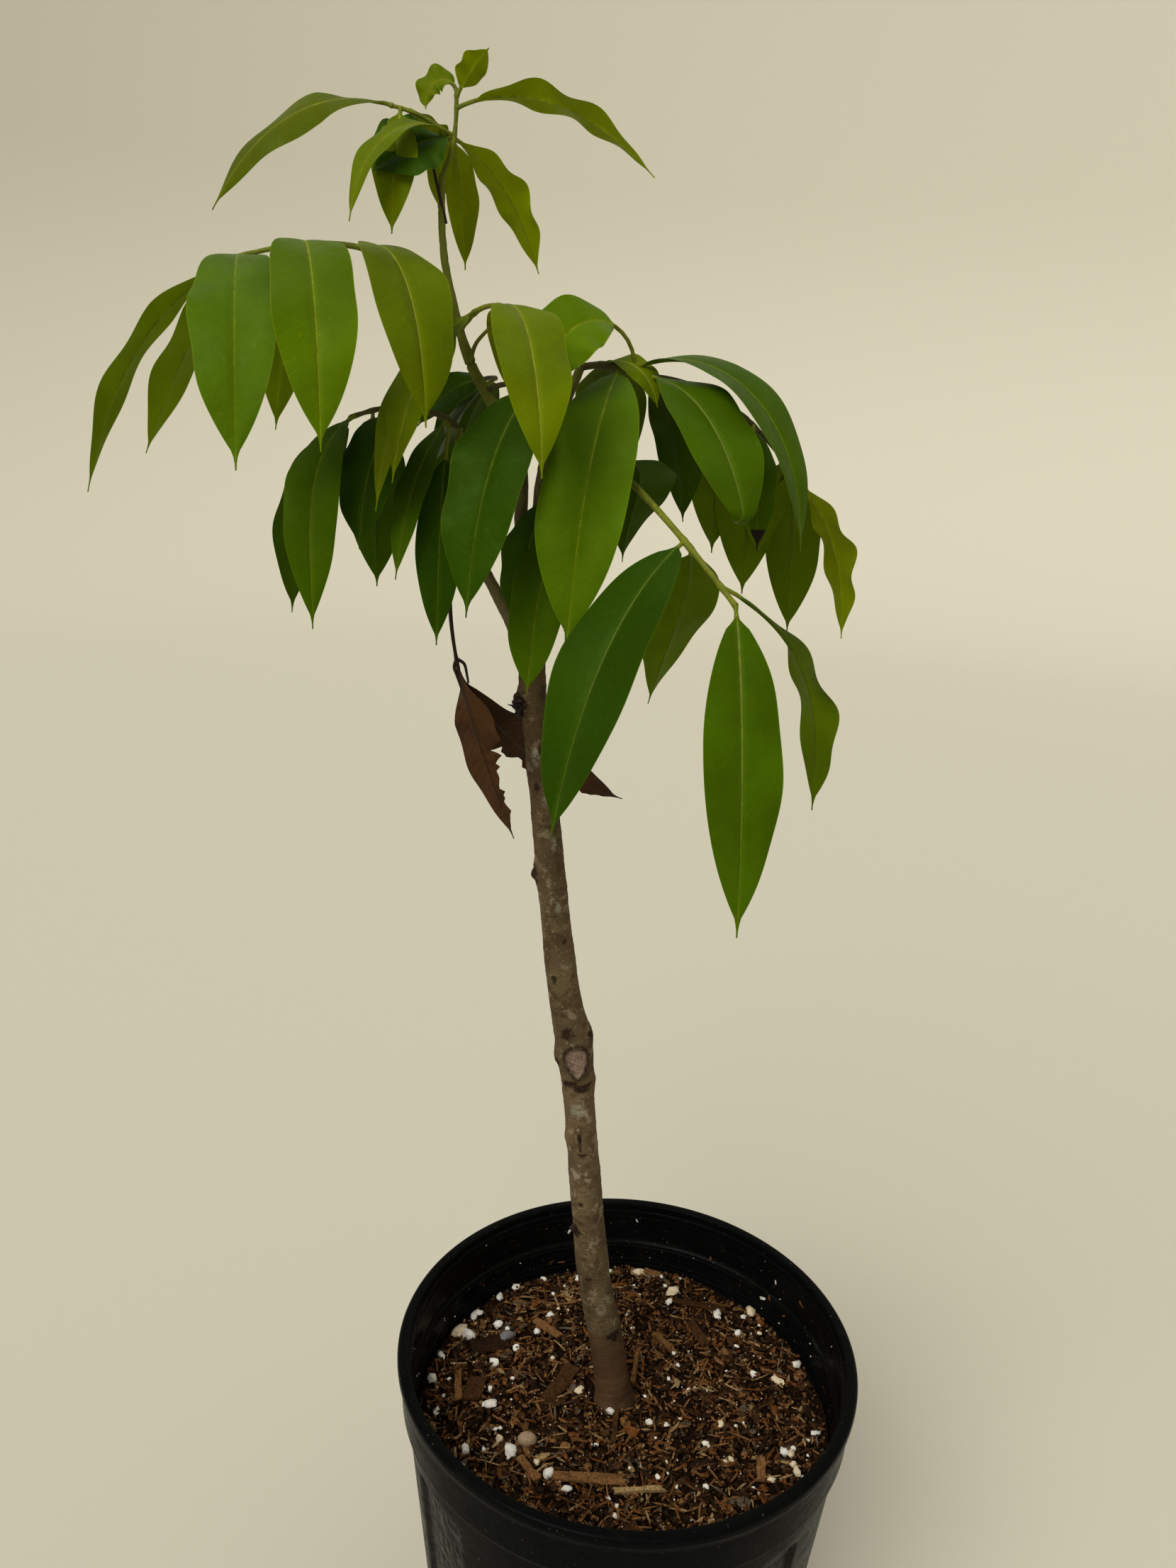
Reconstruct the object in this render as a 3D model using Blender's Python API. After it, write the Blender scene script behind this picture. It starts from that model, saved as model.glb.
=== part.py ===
"""Potted lychee tree: a young grafted tree in a round black nursery pot.

Metres, +Z up. The origin is the centre of the pot's flat underside. The side of the crown that shows
the most leaves looks along -Y. Tables are in millimetres and degrees, and MM turns them into metres.
A heading is measured from +X towards +Y; a rise or dip is the slope of a stalk or midrib, up or down.
"""
from collections import namedtuple
import math

import bmesh
import bpy
from mathutils import Vector

MM = 0.001
CLEAR = 0.3 * MM  # running gap between neighbouring solids

# Pot: a blow-moulded nursery pot, eleven inches across its rim
POT_HEIGHT = 240 * MM
POT_RIM_RADIUS = 140 * MM
POT_FOOT_RADIUS = 112 * MM
POT_SHOULDER_RADIUS = 134 * MM  # body just under the rim band
POT_BAND = 33 * MM  # depth of the rim band, lip included
POT_LIP = 7 * MM
POT_LIP_ROUND = 2.5 * MM
POT_BAND_STEP = 2 * MM  # how far the rim band stands out of the body
POT_WALL = 4 * MM
POT_RIM_WALL = 7 * MM  # the rim is moulded thicker than the body
POT_FLOOR = 3 * MM
POT_CHAMFER = 3 * MM  # round the foot
EDGE = 1 * MM  # half the height of a moulded step
POT_SEGMENTS = 64
PANELS = 8  # sunk panels round the body
PANEL_TURN = math.radians(216)  # heading of the middle of one of them
PANEL_DEPTH = 2.4 * MM
PANEL_BOTTOM = 22 * MM
PANEL_TOP = 186 * MM
PANEL_SLOPE = 5 * MM  # height over which a panel's end runs out
PANEL_SHARE = 0.45  # of the way round that is panel, the rest being ribs
PANEL_SIDES = 6  # how steep a panel's sides are

# Potting mix
SOIL_LEVEL = 190 * MM
SOIL_SWELL = 3 * MM  # height of its low mounds
SOIL_WAVE = 50  # radians a metre of its broad mounds
SOIL_RIPPLE = 88  # and of the smaller ones across them
SOIL_FLAT = 26 * MM  # level patch that the trunk stands on
SOIL_FLAT_EDGE = 20 * MM  # distance over which the level patch runs out
SOIL_RINGS = (0.22, 0.42, 0.62, 0.82, 1.0)

# Limbs: knots of a centre line, x, y, z and thickness there
Knot = namedtuple("Knot", "x y z thick")
LIMBS = {
    "trunk": [
        Knot(-5, 4, 190.3, 26), Knot(-7, 4, 202, 22), Knot(-14, 5, 240, 20.5), Knot(-24, 6, 288, 20),
        Knot(-38, 5, 404, 18.5), Knot(-42, 4, 436, 20.5), Knot(-51, 3, 480, 17.5), Knot(-64, 2, 574, 15),
        Knot(-73, 2, 640, 14), Knot(-77, 2, 700, 13), Knot(-78, 2, 729, 14.5),
    ],
    "left_bough": [
        Knot(-76, 2, 660, 8), Knot(-91, 0, 688, 6.5), Knot(-104, 0, 712, 5.5), Knot(-113, 2, 742, 5),
        Knot(-115, 4, 772, 4.2),
    ],
    "leader": [
        Knot(-82.4, 3, 729.3, 7), Knot(-84, 4, 758, 6.2), Knot(-96, 5, 780, 5.8), Knot(-110, 5, 803, 5.2),
        Knot(-119, 4, 830, 4.3), Knot(-124, 4, 855, 3.6), Knot(-125, 4, 884, 2.9),
    ],
    "right_bough": [
        Knot(-74.6, 1, 729.3, 6.4), Knot(-72, 0, 756, 5.6), Knot(-65, -1, 780, 5),
        Knot(-56, -2, 803, 4.4),
    ],
}
LIMB_SIDES = {"trunk": 14, "left_bough": 8, "leader": 8, "right_bough": 8}
RINGS_PER_SPAN = {"trunk": 3, "left_bough": 3, "leader": 3, "right_bough": 3}

# Knobs and scars on the trunk: height, heading round it, how far it stands out, how far it spreads
KNOB_ROUND = 10  # trunk radius that turns a heading into a way round it
Knob = namedtuple("Knob", "z heading out spread")
KNOBS = [
    Knob(432, 268, 1.6, 13), Knob(432, 185, 1.6, 6), Knob(444, 350, 1.8, 6), Knob(414, 0, 1.4, 5),
    Knob(378, 185, 1.2, 5), Knob(543, 185, 2.8, 6), Knob(638, 190, 4.5, 5), Knob(244, 300, 1.2, 5),
]

# Leaves: place along the stalk, then heading, rise at the base, dip at the tip, length and width,
# roll about the midrib, how far the heading turns along it, the bare leaf stalk's length, how full the
# blade is towards its tip, and how far its two halves rise from the midrib
Leaf = namedtuple(
    "Leaf", "at heading rise dip length width roll turn foot full fold", defaults=(0, 0, 4, 2.3, 12),
)
# Sprays: where the stalk starts (a limb and a height on it, or a share of the mass's first stalk),
# its heading, rise, dip, length, turn and thickness, then its leaves
Spray = namedtuple("Spray", "start heading rise dip length turn thick leaves")
MASSES = {
    "left_fan_foliage": [
        Spray(("leader", 829), 187, 48, -18, 107, 0, 3.4, [
            Leaf(0.44, 301, 8, -83, 122, 38, 4, 0, 4, 2.8),
            Leaf(0.72, 288, 5, -80, 140, 36, -6, full=2.9),
            Leaf(1.0, 284, 0, -78, 139, 38, -12, full=2.7),
            Leaf(0.98, 187, -24, -76, 140, 19, -25, 0, 12),
            Leaf(0.96, 147, -34, -58, 126, 26),
            Leaf(0.66, 118, -15, -62, 128, 30),
            Leaf(0.25, 82, -10, -70, 82, 28),
        ]),
    ],
    "centre_fan_foliage": [
        Spray(("leader", 817), 305, 40, -8, 46, 0, 3, [
            Leaf(0.35, 236, -20, -78, 100, 25),
            Leaf(0.2, 234, -20, -80, 112, 20),
            Leaf(1.0, 288, 3, -76, 112, 32),
            Leaf(0.85, 80, 0, -72, 70, 26),
        ]),
    ],
    "left_foliage": [
        Spray(("left_bough", 772), 190, 40, -22, 55, 0, 3.2, [
            Leaf(1.0, 140, -35, -82, 117, 34),
            Leaf(0.96, 235, -25, -86, 116, 26, 0, 70),
            Leaf(0.55, 246, -30, -84, 78, 34),
            Leaf(0.12, 243, -35, -78, 88, 18),
            Leaf(0.8, 98, -40, -78, 104, 32),
            Leaf(0.1, 268, -55, -88, 112, 23, 0, 0, 20),
        ]),
    ],
    "near_left_foliage": [
        Spray(("leader", 790), 325, 25, -10, 34, 0, 3, [
            Leaf(1.0, 249, -15, -82, 131, 38, full=2.8),
        ]),
    ],
    "back_left_foliage": [
        Spray(("leader", 794), 70, 25, 0, 18, 0, 2.8, [
            Leaf(0.92, 182, -42, -72, 84, 26, 20),
            Leaf(1.0, 120, -15, -76, 104, 34),
            Leaf(1.0, 192, 0, -55, 48, 22, 40),
        ]),
    ],
    "inner_foliage": [
        Spray(("right_bough", 742), 330, 10, -20, 22, 0, 3, [
            Leaf(1.0, 247, -25, -86, 104, 26, 20, 0, 14, 3),
            Leaf(0.3, 240, -40, -88, 72, 28),
            Leaf(0.5, 350, -80, -88, 80, 32),
        ]),
    ],
    "right_foliage": [
        Spray(("right_bough", 803), 345, 14, -18, 36, 0, 3.6, [
            Leaf(0.55, 256, -28, -80, 150, 42, full=3),
            Leaf(0.75, 214, 92, -84, 84, 36, 40, 0, 24),
            Leaf(0.7, 336, 26, -84, 142, 28, -18, 0, 6),
            Leaf(1.0, 308, -5, -68, 106, 34, -20, full=3),
            Leaf(0.3, 338, 30, -72, 40, 15, -35),
            Leaf(0.68, 100, -20, -78, 80, 30),
            Leaf(0.97, 55, -30, -80, 82, 28),
            Leaf(0.45, 92, 0, -72, 112, 34),
        ]),
        Spray(("stalk", 1.0), 12, 0, -50, 94, 0, 3, [
            Leaf(0.35, 80, -30, -75, 96, 30),
            Leaf(0.55, 76, -40, -80, 102, 34),
            Leaf(0.6, 278, -40, -80, 66, 18),
            Leaf(0.85, 100, -30, -80, 58, 24),
            Leaf(0.92, 74, -30, -80, 104, 30),
            Leaf(1.0, 34, -30, -84, 94, 23),
        ]),
    ],
    "lower_right_foliage": [
        Spray(("right_bough", 778), 310, -20, -36, 148, 0, 3.8, [
            Leaf(0.72, 231, -25, -76, 150, 42, full=2.8),
            Leaf(0.75, 75, -40, -75, 92, 36, 0, 80),
            Leaf(0.92, 352, -20, -90, 122, 28, 0, 60, 8),
            Leaf(1.0, 279, -55, -82, 142, 34),
            Leaf(0.32, 40, 20, -88, 80, 36, 0, 120),
        ]),
    ],
    "top_foliage": [
        Spray(("leader", 884), 0, 62, 92, 36, 0, 2.6, [
            Leaf(0.48, 40, -14, -66, 76, 20, 20, 0, 3),
            Leaf(0.46, 88, -15, -72, 69, 16, 0, 0, 3),
            Leaf(0.5, 208, -10, -38, 44, 35, 48, 0, 3, 3),
            Leaf(0.5, 218, 24, -80, 80, 13, 25, 0, 6),
            Leaf(0.83, 345, 22, -43, 106, 19, 26, 0, 9),
            Leaf(0.96, 335, 60, 40, 25, 14, 30, 0, 4),
            Leaf(0.96, 180, 100, -95, 27, 15, 60, 0, 5),
        ]),
        Spray(("stalk", 0.42), 182, 52, 10, 32, 0, 2.4, [
            Leaf(1.0, 182, 16, -60, 105, 22, 48, 0, 3, 2.3, -8),
            Leaf(0.74, 75, 2, -45, 44, 20, 0, 0, 3),
            Leaf(0.88, 268, -52, -84, 60, 21, 0, 0, 3, 1.8),
            Leaf(0.25, 100, -40, -70, 36, 12, 0, 0, 3),
        ]),
    ],
    "hanging_dead_spray": [
        Spray(("left_bough", 733), 190, -70, -102, 84, 0, 2.8, [
            Leaf(0.92, 2, -76, -68, 102, 28, 60),
            Leaf(1.0, 39, -58, -22, 148, 30, 66),
        ]),
    ],
}
STALK_SIDES = 6
STALK_STEPS = 8
STALK_TIP = 0.62  # a stalk's thickness at its end, as a share of its foot
DROOP = 1.5  # above 1, a stalk or leaf bends most near its base
BLADE_STEPS = (0.0, 0.08, 0.2, 0.34, 0.5, 0.64, 0.76, 0.86, 0.94, 1.0)
WIDEST = 0.42  # share of the blade at which it is widest
OVAL_END = 0.96  # and where its oval body would end without the drip tip
BASE_FULL = 0.72  # below 1, the blade widens from its base faster than a sine wave
DRIP_START = 0.7  # share of the blade where the drip tip starts
DRIP_SLOPE = 1.2  # how fast the drip tip narrows
ROLL_SHARE = 1 / 3  # of a leaf's length by which it has rolled fully
LEAF_THICK = 1.3 * MM
LEAF_THICK_SHARE = 0.0108  # of the leaf's length, where that is more
LEAF_FOOT = 1.7 * MM  # width of the bare leaf stalk
LEAF_TIP = 0.8 * MM  # width of the drip tip's end
PATH_STEPS = 48  # steps in which a stalk or midrib is walked

COLOURS = {
    "black_plastic": ((0.010, 0.011, 0.012), 0.34),
    "potting_mix": ((0.055, 0.030, 0.016), 0.95),
    "bark": ((0.150, 0.098, 0.066), 0.85),
    "green_leaf": ((0.085, 0.190, 0.010), 0.42),
    "young_leaf": ((0.240, 0.360, 0.012), 0.42),
    "dead_leaf": ((0.120, 0.042, 0.018), 0.75),
}


def clear_scene():
    for thing in list(bpy.data.objects):
        bpy.data.objects.remove(thing, do_unlink=True)


def make_material(name):
    colour, roughness = COLOURS[name]
    material = bpy.data.materials.new(name)
    material.use_nodes = True
    shader = material.node_tree.nodes["Principled BSDF"]
    shader.inputs["Base Color"].default_value = (*colour, 1.0)
    shader.inputs["Roughness"].default_value = roughness
    shader.inputs["Metallic"].default_value = 0.0
    return material


def make_object(name, mesh, material=None):
    thing = bpy.data.objects.new(name, mesh)
    bpy.context.scene.collection.objects.link(thing)
    if material:
        mesh.materials.append(material)
    return thing


def mesh_from_rings(name, rings):
    """A closed solid through rings of equal length, with a flat cap at each end."""
    bm = bmesh.new()
    rows = [[bm.verts.new(point) for point in ring] for ring in rings]
    count = len(rows[0])
    for low, high in zip(rows, rows[1:]):
        for k in range(count):
            bm.faces.new((low[k], low[(k + 1) % count], high[(k + 1) % count], high[k]))
    bm.faces.new(rows[0][::-1])
    bm.faces.new(rows[-1])
    bmesh.ops.recalc_face_normals(bm, faces=bm.faces)
    mesh = bpy.data.meshes.new(name)
    bm.to_mesh(mesh)
    bm.free()
    return mesh


def shade(thing, degrees=40):
    thing.data.shade_smooth()
    thing.data.set_sharp_from_angle(angle=math.radians(degrees))


# Pot and potting mix


def pot_body_radius(z):
    share = z / (POT_HEIGHT - POT_BAND)
    return POT_FOOT_RADIUS + (POT_SHOULDER_RADIUS - POT_FOOT_RADIUS) * share


def pot_inner_radius(z):
    return pot_body_radius(z) - POT_WALL


def panel_share(angle):
    """How far a place round the pot is sunk, from 0 on a rib to 1 on a panel."""
    rib = math.cos(math.pi * PANEL_SHARE)
    return min(max((math.cos(PANELS * (angle - PANEL_TURN)) - rib) * PANEL_SIDES, 0.0), 1.0)


def pot_profile():
    """Heights, radii and where the panels are sunk, from the foot over the lip to the inside floor."""
    band = POT_HEIGHT - POT_BAND
    lip = POT_HEIGHT - POT_LIP
    rim = POT_RIM_RADIUS
    foot = [(0.0, POT_FOOT_RADIUS - POT_CHAMFER, False)]
    body = [
        (POT_CHAMFER, False), (PANEL_BOTTOM - PANEL_SLOPE, False), (PANEL_BOTTOM, True),
        (PANEL_TOP, True), (PANEL_TOP + PANEL_SLOPE, False), (band - EDGE, False),
    ]
    outside = foot + [(z, pot_body_radius(z), sunk) for z, sunk in body] + [
        (band + EDGE, POT_SHOULDER_RADIUS + POT_BAND_STEP, False),
        (lip - EDGE, rim - POT_BAND_STEP, False),
        (lip + EDGE, rim - POT_LIP_ROUND / 6, False), (POT_HEIGHT - POT_LIP_ROUND, rim, False),
        (POT_HEIGHT, rim - POT_LIP_ROUND, False),
    ]
    inside = [
        (POT_HEIGHT - EDGE, rim - POT_RIM_WALL + EDGE, False), (lip - EDGE, rim - POT_RIM_WALL, False),
        (band + 3 * EDGE, rim - POT_RIM_WALL - EDGE, False), (band - EDGE, pot_inner_radius(band), False),
        (POT_FLOOR, pot_inner_radius(POT_FLOOR), False),
    ]
    return outside + inside


def round_pot(radius, sunk=False):
    """Points round the pot's axis, drawn in where the panels are sunk."""
    ring = []
    for k in range(POT_SEGMENTS):
        angle = 2 * math.pi * k / POT_SEGMENTS + PANEL_TURN
        r = radius - (PANEL_DEPTH * panel_share(angle) if sunk else 0.0)
        ring.append((r * math.cos(angle), r * math.sin(angle)))
    return ring


def build_pot(material):
    rings = [[(x, y, z) for x, y in round_pot(radius, sunk)] for z, radius, sunk in pot_profile()]
    pot = make_object("pot", mesh_from_rings("pot", rings), material)
    shade(pot, 30)


def soil_height(x, y):
    """Low mounds in the mix, level round the trunk and at the level of the wall."""
    foot = LIMBS["trunk"][0]
    off = math.hypot(x - foot.x * MM, y - foot.y * MM)
    near = min(max((off - SOIL_FLAT) / SOIL_FLAT_EDGE, 0.0), 1.0)
    mounds = math.sin(SOIL_WAVE * x) * math.cos(SOIL_WAVE * y)
    ripples = math.sin(SOIL_RIPPLE * (x - y) + 1) / 2
    return SOIL_LEVEL + near * SOIL_SWELL * (mounds + ripples) * 2 / 3


def build_soil(material):
    """A filled frustum that the pot's wall and floor hold, with an uneven top."""
    foot = LIMBS["trunk"][0]
    rings = []
    for z in (POT_FLOOR + CLEAR, SOIL_LEVEL / 2):
        rings.append([(x, y, z) for x, y in round_pot(pot_inner_radius(z) - CLEAR)])
    wall = round_pot(pot_inner_radius(SOIL_LEVEL - SOIL_SWELL) - CLEAR)
    for share in reversed(SOIL_RINGS):
        inwards = (1 - share) * MM
        row = [(share * x + inwards * foot.x, share * y + inwards * foot.y) for x, y in wall]
        rings.append([(x, y, soil_height(x, y)) for x, y in row])
    soil = make_object("potting_mix", mesh_from_rings("potting_mix", rings), material)
    shade(soil, 30)


# Limbs


def limb_points(name):
    """Points and thicknesses on a smooth curve through the limb's knots."""
    knots = [Vector((k.x, k.y, k.z, k.thick)) * MM for k in LIMBS[name]]
    ends = [2 * knots[0] - knots[1]] + knots + [2 * knots[-1] - knots[-2]]
    steps = RINGS_PER_SPAN[name]
    points = []
    for before, a, b, after in zip(ends, ends[1:], ends[2:], ends[3:]):
        for k in range(steps):
            t = k / steps
            bend = (2 * before - 5 * a + 4 * b - after) * t ** 2
            twist = (3 * a - before - 3 * b + after) * t ** 3
            points.append((2 * a + (b - before) * t + bend + twist) / 2)
    points.append(knots[-1])
    return [point.to_3d() for point in points], [point.w for point in points]


def limb_point(name, height):
    """The point of a limb's centre line at a height."""
    points, thick = limb_points(name)
    for a, b in zip(points, points[1:]):
        if b.z >= height * MM - 1e-9:
            return a.lerp(b, (height * MM - a.z) / (b.z - a.z))
    return points[-1]


def tube_rings(points, radii, sides, swell=None):
    """Rings across a path, all starting from one side so that they don't twist."""
    rings = []
    for k, point in enumerate(points):
        ahead = (points[min(k + 1, len(points) - 1)] - points[max(k - 1, 0)]).normalized()
        level = abs(ahead.z) < 0.9
        across = ahead.cross(Vector((0, 0, 1)) if level else Vector((0, 1, 0))).normalized()
        other = ahead.cross(across).normalized()
        ring = []
        for side in range(sides):
            angle = 2 * math.pi * side / sides
            out = across * math.cos(angle) + other * math.sin(angle)
            extra = swell(point, out) if swell else 0.0
            ring.append(point + out * (radii[k] + extra))
        rings.append(ring)
    return rings


def trunk_swell(point, out):
    """How far the knobs and healed scars stand out at one place on the bark."""
    heading = math.atan2(out.y, out.x)
    total = 0.0
    for knob in KNOBS:
        turn = (heading - math.radians(knob.heading) + math.pi) % (2 * math.pi) - math.pi
        up = (point.z / MM - knob.z) / knob.spread
        round_it = turn * KNOB_ROUND / knob.spread
        total += knob.out * MM * math.exp(-up * up - round_it * round_it)
    return total


def build_limb(name, material, grow=0.0):
    """A limb as one tapering solid; with grow, a larger copy that cuts its neighbours clear."""
    points, thick = limb_points(name)
    radii = [t / 2 + grow for t in thick]
    swell = trunk_swell if name == "trunk" else None
    rings = tube_rings(points, radii, LIMB_SIDES[name], swell)
    if name == "trunk":
        rings[0] = [Vector((p.x, p.y, points[0].z)) for p in rings[0]]
        rings[-1] = [Vector((p.x, p.y, points[-1].z)) for p in rings[-1]]
    if grow:
        for ring, way in ((rings[0], points[0] - points[1]), (rings[-1], points[-1] - points[-2])):
            for p in ring:
                p += way.normalized() * grow
    limb = make_object(name + ("_room" if grow else ""), mesh_from_rings(name, rings), material)
    if grow:
        limb.hide_render = True
        limb.display_type = "WIRE"
    else:
        shade(limb)
    return limb


# Foliage


def walk(start, heading, rise, dip, length, turn=0, steps=PATH_STEPS):
    """Points and directions of a stalk or midrib that bends from one slope to another as it runs out."""
    ways = []
    for k in range(steps + 1):
        s = k / steps
        slope = math.radians(dip + (rise - dip) * (1 - s) ** DROOP)
        yaw = math.radians(heading + turn * s)
        level = Vector((math.cos(yaw), math.sin(yaw), 0))
        ways.append(level * math.cos(slope) + Vector((0, 0, math.sin(slope))))
    points = [start.copy()]
    for a, b in zip(ways, ways[1:]):
        points.append(points[-1] + (a + b) * (length * MM / steps / 2))
    return points, ways


def along(values, share):
    """A point or direction at a share of a walked path."""
    place = share * (len(values) - 1)
    k = min(int(place), len(values) - 2)
    return values[k].lerp(values[k + 1], place - k)


def blade_share(t, full):
    """A leaflet's half width along its blade: an oval body and a drawn-out drip tip."""
    if t < WIDEST:
        return math.sin(math.pi / 2 * t / WIDEST) ** BASE_FULL
    oval = 1 - min((t - WIDEST) / (OVAL_END - WIDEST), 1.0) ** full
    drip = DRIP_SLOPE * (1 - t) if t > DRIP_START else 0.0
    return max(oval, drip)


def blade_rings(base, leaf):
    """Six-sided rings across a leaflet, from inside its stalk to its tip."""
    points, ways = walk(base, leaf.heading, leaf.rise, leaf.dip, leaf.length, leaf.turn)
    thick = max(LEAF_THICK, leaf.length * MM * LEAF_THICK_SHARE)
    foot = leaf.foot / leaf.length
    rings = []
    for s in [0.0] + [foot + (1 - foot) * t for t in BLADE_STEPS]:
        yaw = math.radians(leaf.heading + leaf.turn * s)
        way = along(ways, s).normalized()
        side = Vector((math.sin(yaw), -math.cos(yaw), 0))
        up = side.cross(way).normalized()
        roll = math.radians(leaf.roll) * min(s / ROLL_SHARE, 1.0)
        side, up = side * math.cos(roll) + up * math.sin(roll), up * math.cos(roll) - side * math.sin(roll)
        t = (s - foot) / (1 - foot)
        least = LEAF_FOOT if t < 0.5 else LEAF_TIP
        half = max(leaf.width * MM * blade_share(max(t, 0.0), leaf.full), least) / 2
        middle = along(points, s)
        lift = up * (half * math.tan(math.radians(leaf.fold)))
        skin = up * (thick / 2)
        rings.append([
            middle + skin, middle + side * half + lift + skin, middle + side * half + lift - skin,
            middle - skin, middle - side * half + lift - skin, middle - side * half + lift + skin,
        ])
    return rings


def spray_path(mass, index):
    """A spray's stalk, from the middle of its limb or from the mass's first stalk."""
    spray = MASSES[mass][index]
    where, place = spray.start
    start = along(spray_path(mass, 0)[0], place) if where == "stalk" else limb_point(where, place)
    return walk(start, spray.heading, spray.rise, spray.dip, spray.length, spray.turn)


def spray_pieces(mass, index):
    """Ring lists of one spray: its stalk first, then its leaves."""
    spray = MASSES[mass][index]
    points, ways = spray_path(mass, index)
    shares = [k / STALK_STEPS for k in range(STALK_STEPS + 1)]
    radii = [spray.thick * MM / 2 * (1 - (1 - STALK_TIP) * s) for s in shares]
    pieces = [tube_rings([along(points, s) for s in shares], radii, STALK_SIDES)]
    for leaf in spray.leaves:
        pieces.append(blade_rings(along(points, leaf.at), leaf))
    return pieces


def keep_largest_piece(mesh):
    """Drops loose scraps and the inner skin of any sealed hollow."""
    bm = bmesh.new()
    bm.from_mesh(mesh)
    left = set(bm.verts)
    groups = []
    while left:
        group = {left.pop()}
        front = list(group)
        while front:
            for edge in front.pop().link_edges:
                for vert in edge.verts:
                    if vert in left:
                        left.remove(vert)
                        group.add(vert)
                        front.append(vert)
        groups.append(group)
    groups.sort(key=len)
    for group in groups[:-1]:
        bmesh.ops.delete(bm, geom=list(group), context="VERTS")
    bm.to_mesh(mesh)
    bm.free()


def apply_boolean(thing, operation, others):
    """Joins or cuts one object with a collection of others, applies it, and removes the others."""
    group = bpy.data.collections.new(thing.name + "_" + operation.lower())
    for other in others:
        group.objects.link(other)
    modifier = thing.modifiers.new(operation, "BOOLEAN")
    modifier.operation = operation
    modifier.operand_type = "COLLECTION"
    modifier.collection = group
    modifier.solver = "EXACT"
    bpy.context.view_layer.update()
    mesh = bpy.data.meshes.new_from_object(thing.evaluated_get(bpy.context.evaluated_depsgraph_get()))
    thing.modifiers.remove(modifier)
    thing.data = mesh
    for other in others:
        bpy.data.objects.remove(other, do_unlink=True)
    bpy.data.collections.remove(group)


def build_mass(name, material):
    """One mass of foliage: its stalks and leaves fused, and cut clear of the limbs."""
    rings = [piece for index in range(len(MASSES[name])) for piece in spray_pieces(name, index)]
    objects = [make_object(f"{name}_{k}", mesh_from_rings(name, piece)) for k, piece in enumerate(rings)]
    mass = objects[0]
    mass.name = name
    apply_boolean(mass, "UNION", objects[1:])
    apply_boolean(mass, "DIFFERENCE", [build_limb(limb, None, CLEAR) for limb in LIMBS])
    keep_largest_piece(mass.data)
    mass.data.materials.clear()
    mass.data.materials.append(material)
    shade(mass)


def build():
    clear_scene()
    materials = {name: make_material(name) for name in COLOURS}
    build_pot(materials["black_plastic"])
    build_soil(materials["potting_mix"])
    for name in ("trunk", "leader", "right_bough"):
        build_limb(name, materials["bark"])
    bough = build_limb("left_bough", materials["bark"])
    apply_boolean(bough, "DIFFERENCE", [build_limb("trunk", None, CLEAR)])
    for name in MASSES:
        young = name in ("left_fan_foliage", "centre_fan_foliage", "top_foliage")
        finish = "young_leaf" if young else "green_leaf"
        build_mass(name, materials["dead_leaf" if name == "hanging_dead_spray" else finish])


build()
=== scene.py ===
"""Potted lychee tree: its looks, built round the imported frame.

Metres, +Z up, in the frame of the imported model. Tables are in millimetres and degrees, and MM turns them
into metres. The rule for limbs, stalks and leaflets is that of the part's source, written again here and
carried to a finer surface. A heading is measured from +X towards +Y.
"""
import random
from collections import namedtuple
from math import acos, atan2, cos, exp, hypot, pi, radians, sin, tan

import bmesh
import bpy
from mathutils import Matrix, Vector, noise


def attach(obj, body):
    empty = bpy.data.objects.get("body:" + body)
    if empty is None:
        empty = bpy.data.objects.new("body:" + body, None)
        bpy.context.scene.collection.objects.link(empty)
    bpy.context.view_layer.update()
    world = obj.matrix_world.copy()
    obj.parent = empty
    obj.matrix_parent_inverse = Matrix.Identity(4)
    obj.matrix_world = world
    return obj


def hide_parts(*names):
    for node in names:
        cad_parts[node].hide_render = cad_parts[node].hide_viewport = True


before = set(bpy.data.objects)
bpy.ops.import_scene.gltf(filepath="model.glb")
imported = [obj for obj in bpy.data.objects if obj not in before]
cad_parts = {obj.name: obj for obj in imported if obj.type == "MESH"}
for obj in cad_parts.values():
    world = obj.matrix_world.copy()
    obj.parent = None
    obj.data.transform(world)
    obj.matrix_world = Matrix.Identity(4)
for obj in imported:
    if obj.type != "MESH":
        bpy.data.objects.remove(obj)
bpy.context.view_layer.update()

MM = 0.001
UP = Vector((0, 0, 1))

# Camera: where the photographer stood, and how the view leans
EYE = Vector((-0.042, -0.602, 0.770))
PITCH_DOWN = radians(16.3)
ROLL = radians(3.0)
LENS = 27.03
FILM_HEIGHT = 36

# Pot
POT_HEIGHT = 240 * MM
POT_RIM_RADIUS = 140 * MM
POT_FOOT_RADIUS = 112 * MM
POT_SHOULDER_RADIUS = 134 * MM
POT_BAND = 33 * MM
POT_LIP = 7 * MM
POT_WALL = 4 * MM
POT_RIM_WALL = 7 * MM
POT_FLOOR = 3 * MM
POT_CHAMFER = 3 * MM
BAND_FOOT = POT_HEIGHT - POT_BAND
POT_SEGMENTS = 288
LIP_INSIDE = 234 * MM  # above this the inside has the finish of the outside
INSIDE_FINE_END = 170 * MM  # above this the inside has close rings, a step apart
INSIDE_STEP = 0.6 * MM
PANELS = 8
PANEL_TURN = radians(216)  # heading of the middle of one sunk panel
PANEL_DEPTH = 2.4 * MM
PANEL_BOTTOM = 22 * MM
PANEL_TOP = 186 * MM
PANEL_SLOPE = 5 * MM
PANEL_SHARE = 0.45
PANEL_SIDES = 6
INNER_RIDGES = (229, 208.5, 206, 196, 192.5, 176, 173)  # heights of thin ridges on the inside wall
RIDGE_OUT = 0.55 * MM
RIDGE_HALF = 0.9 * MM

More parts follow.
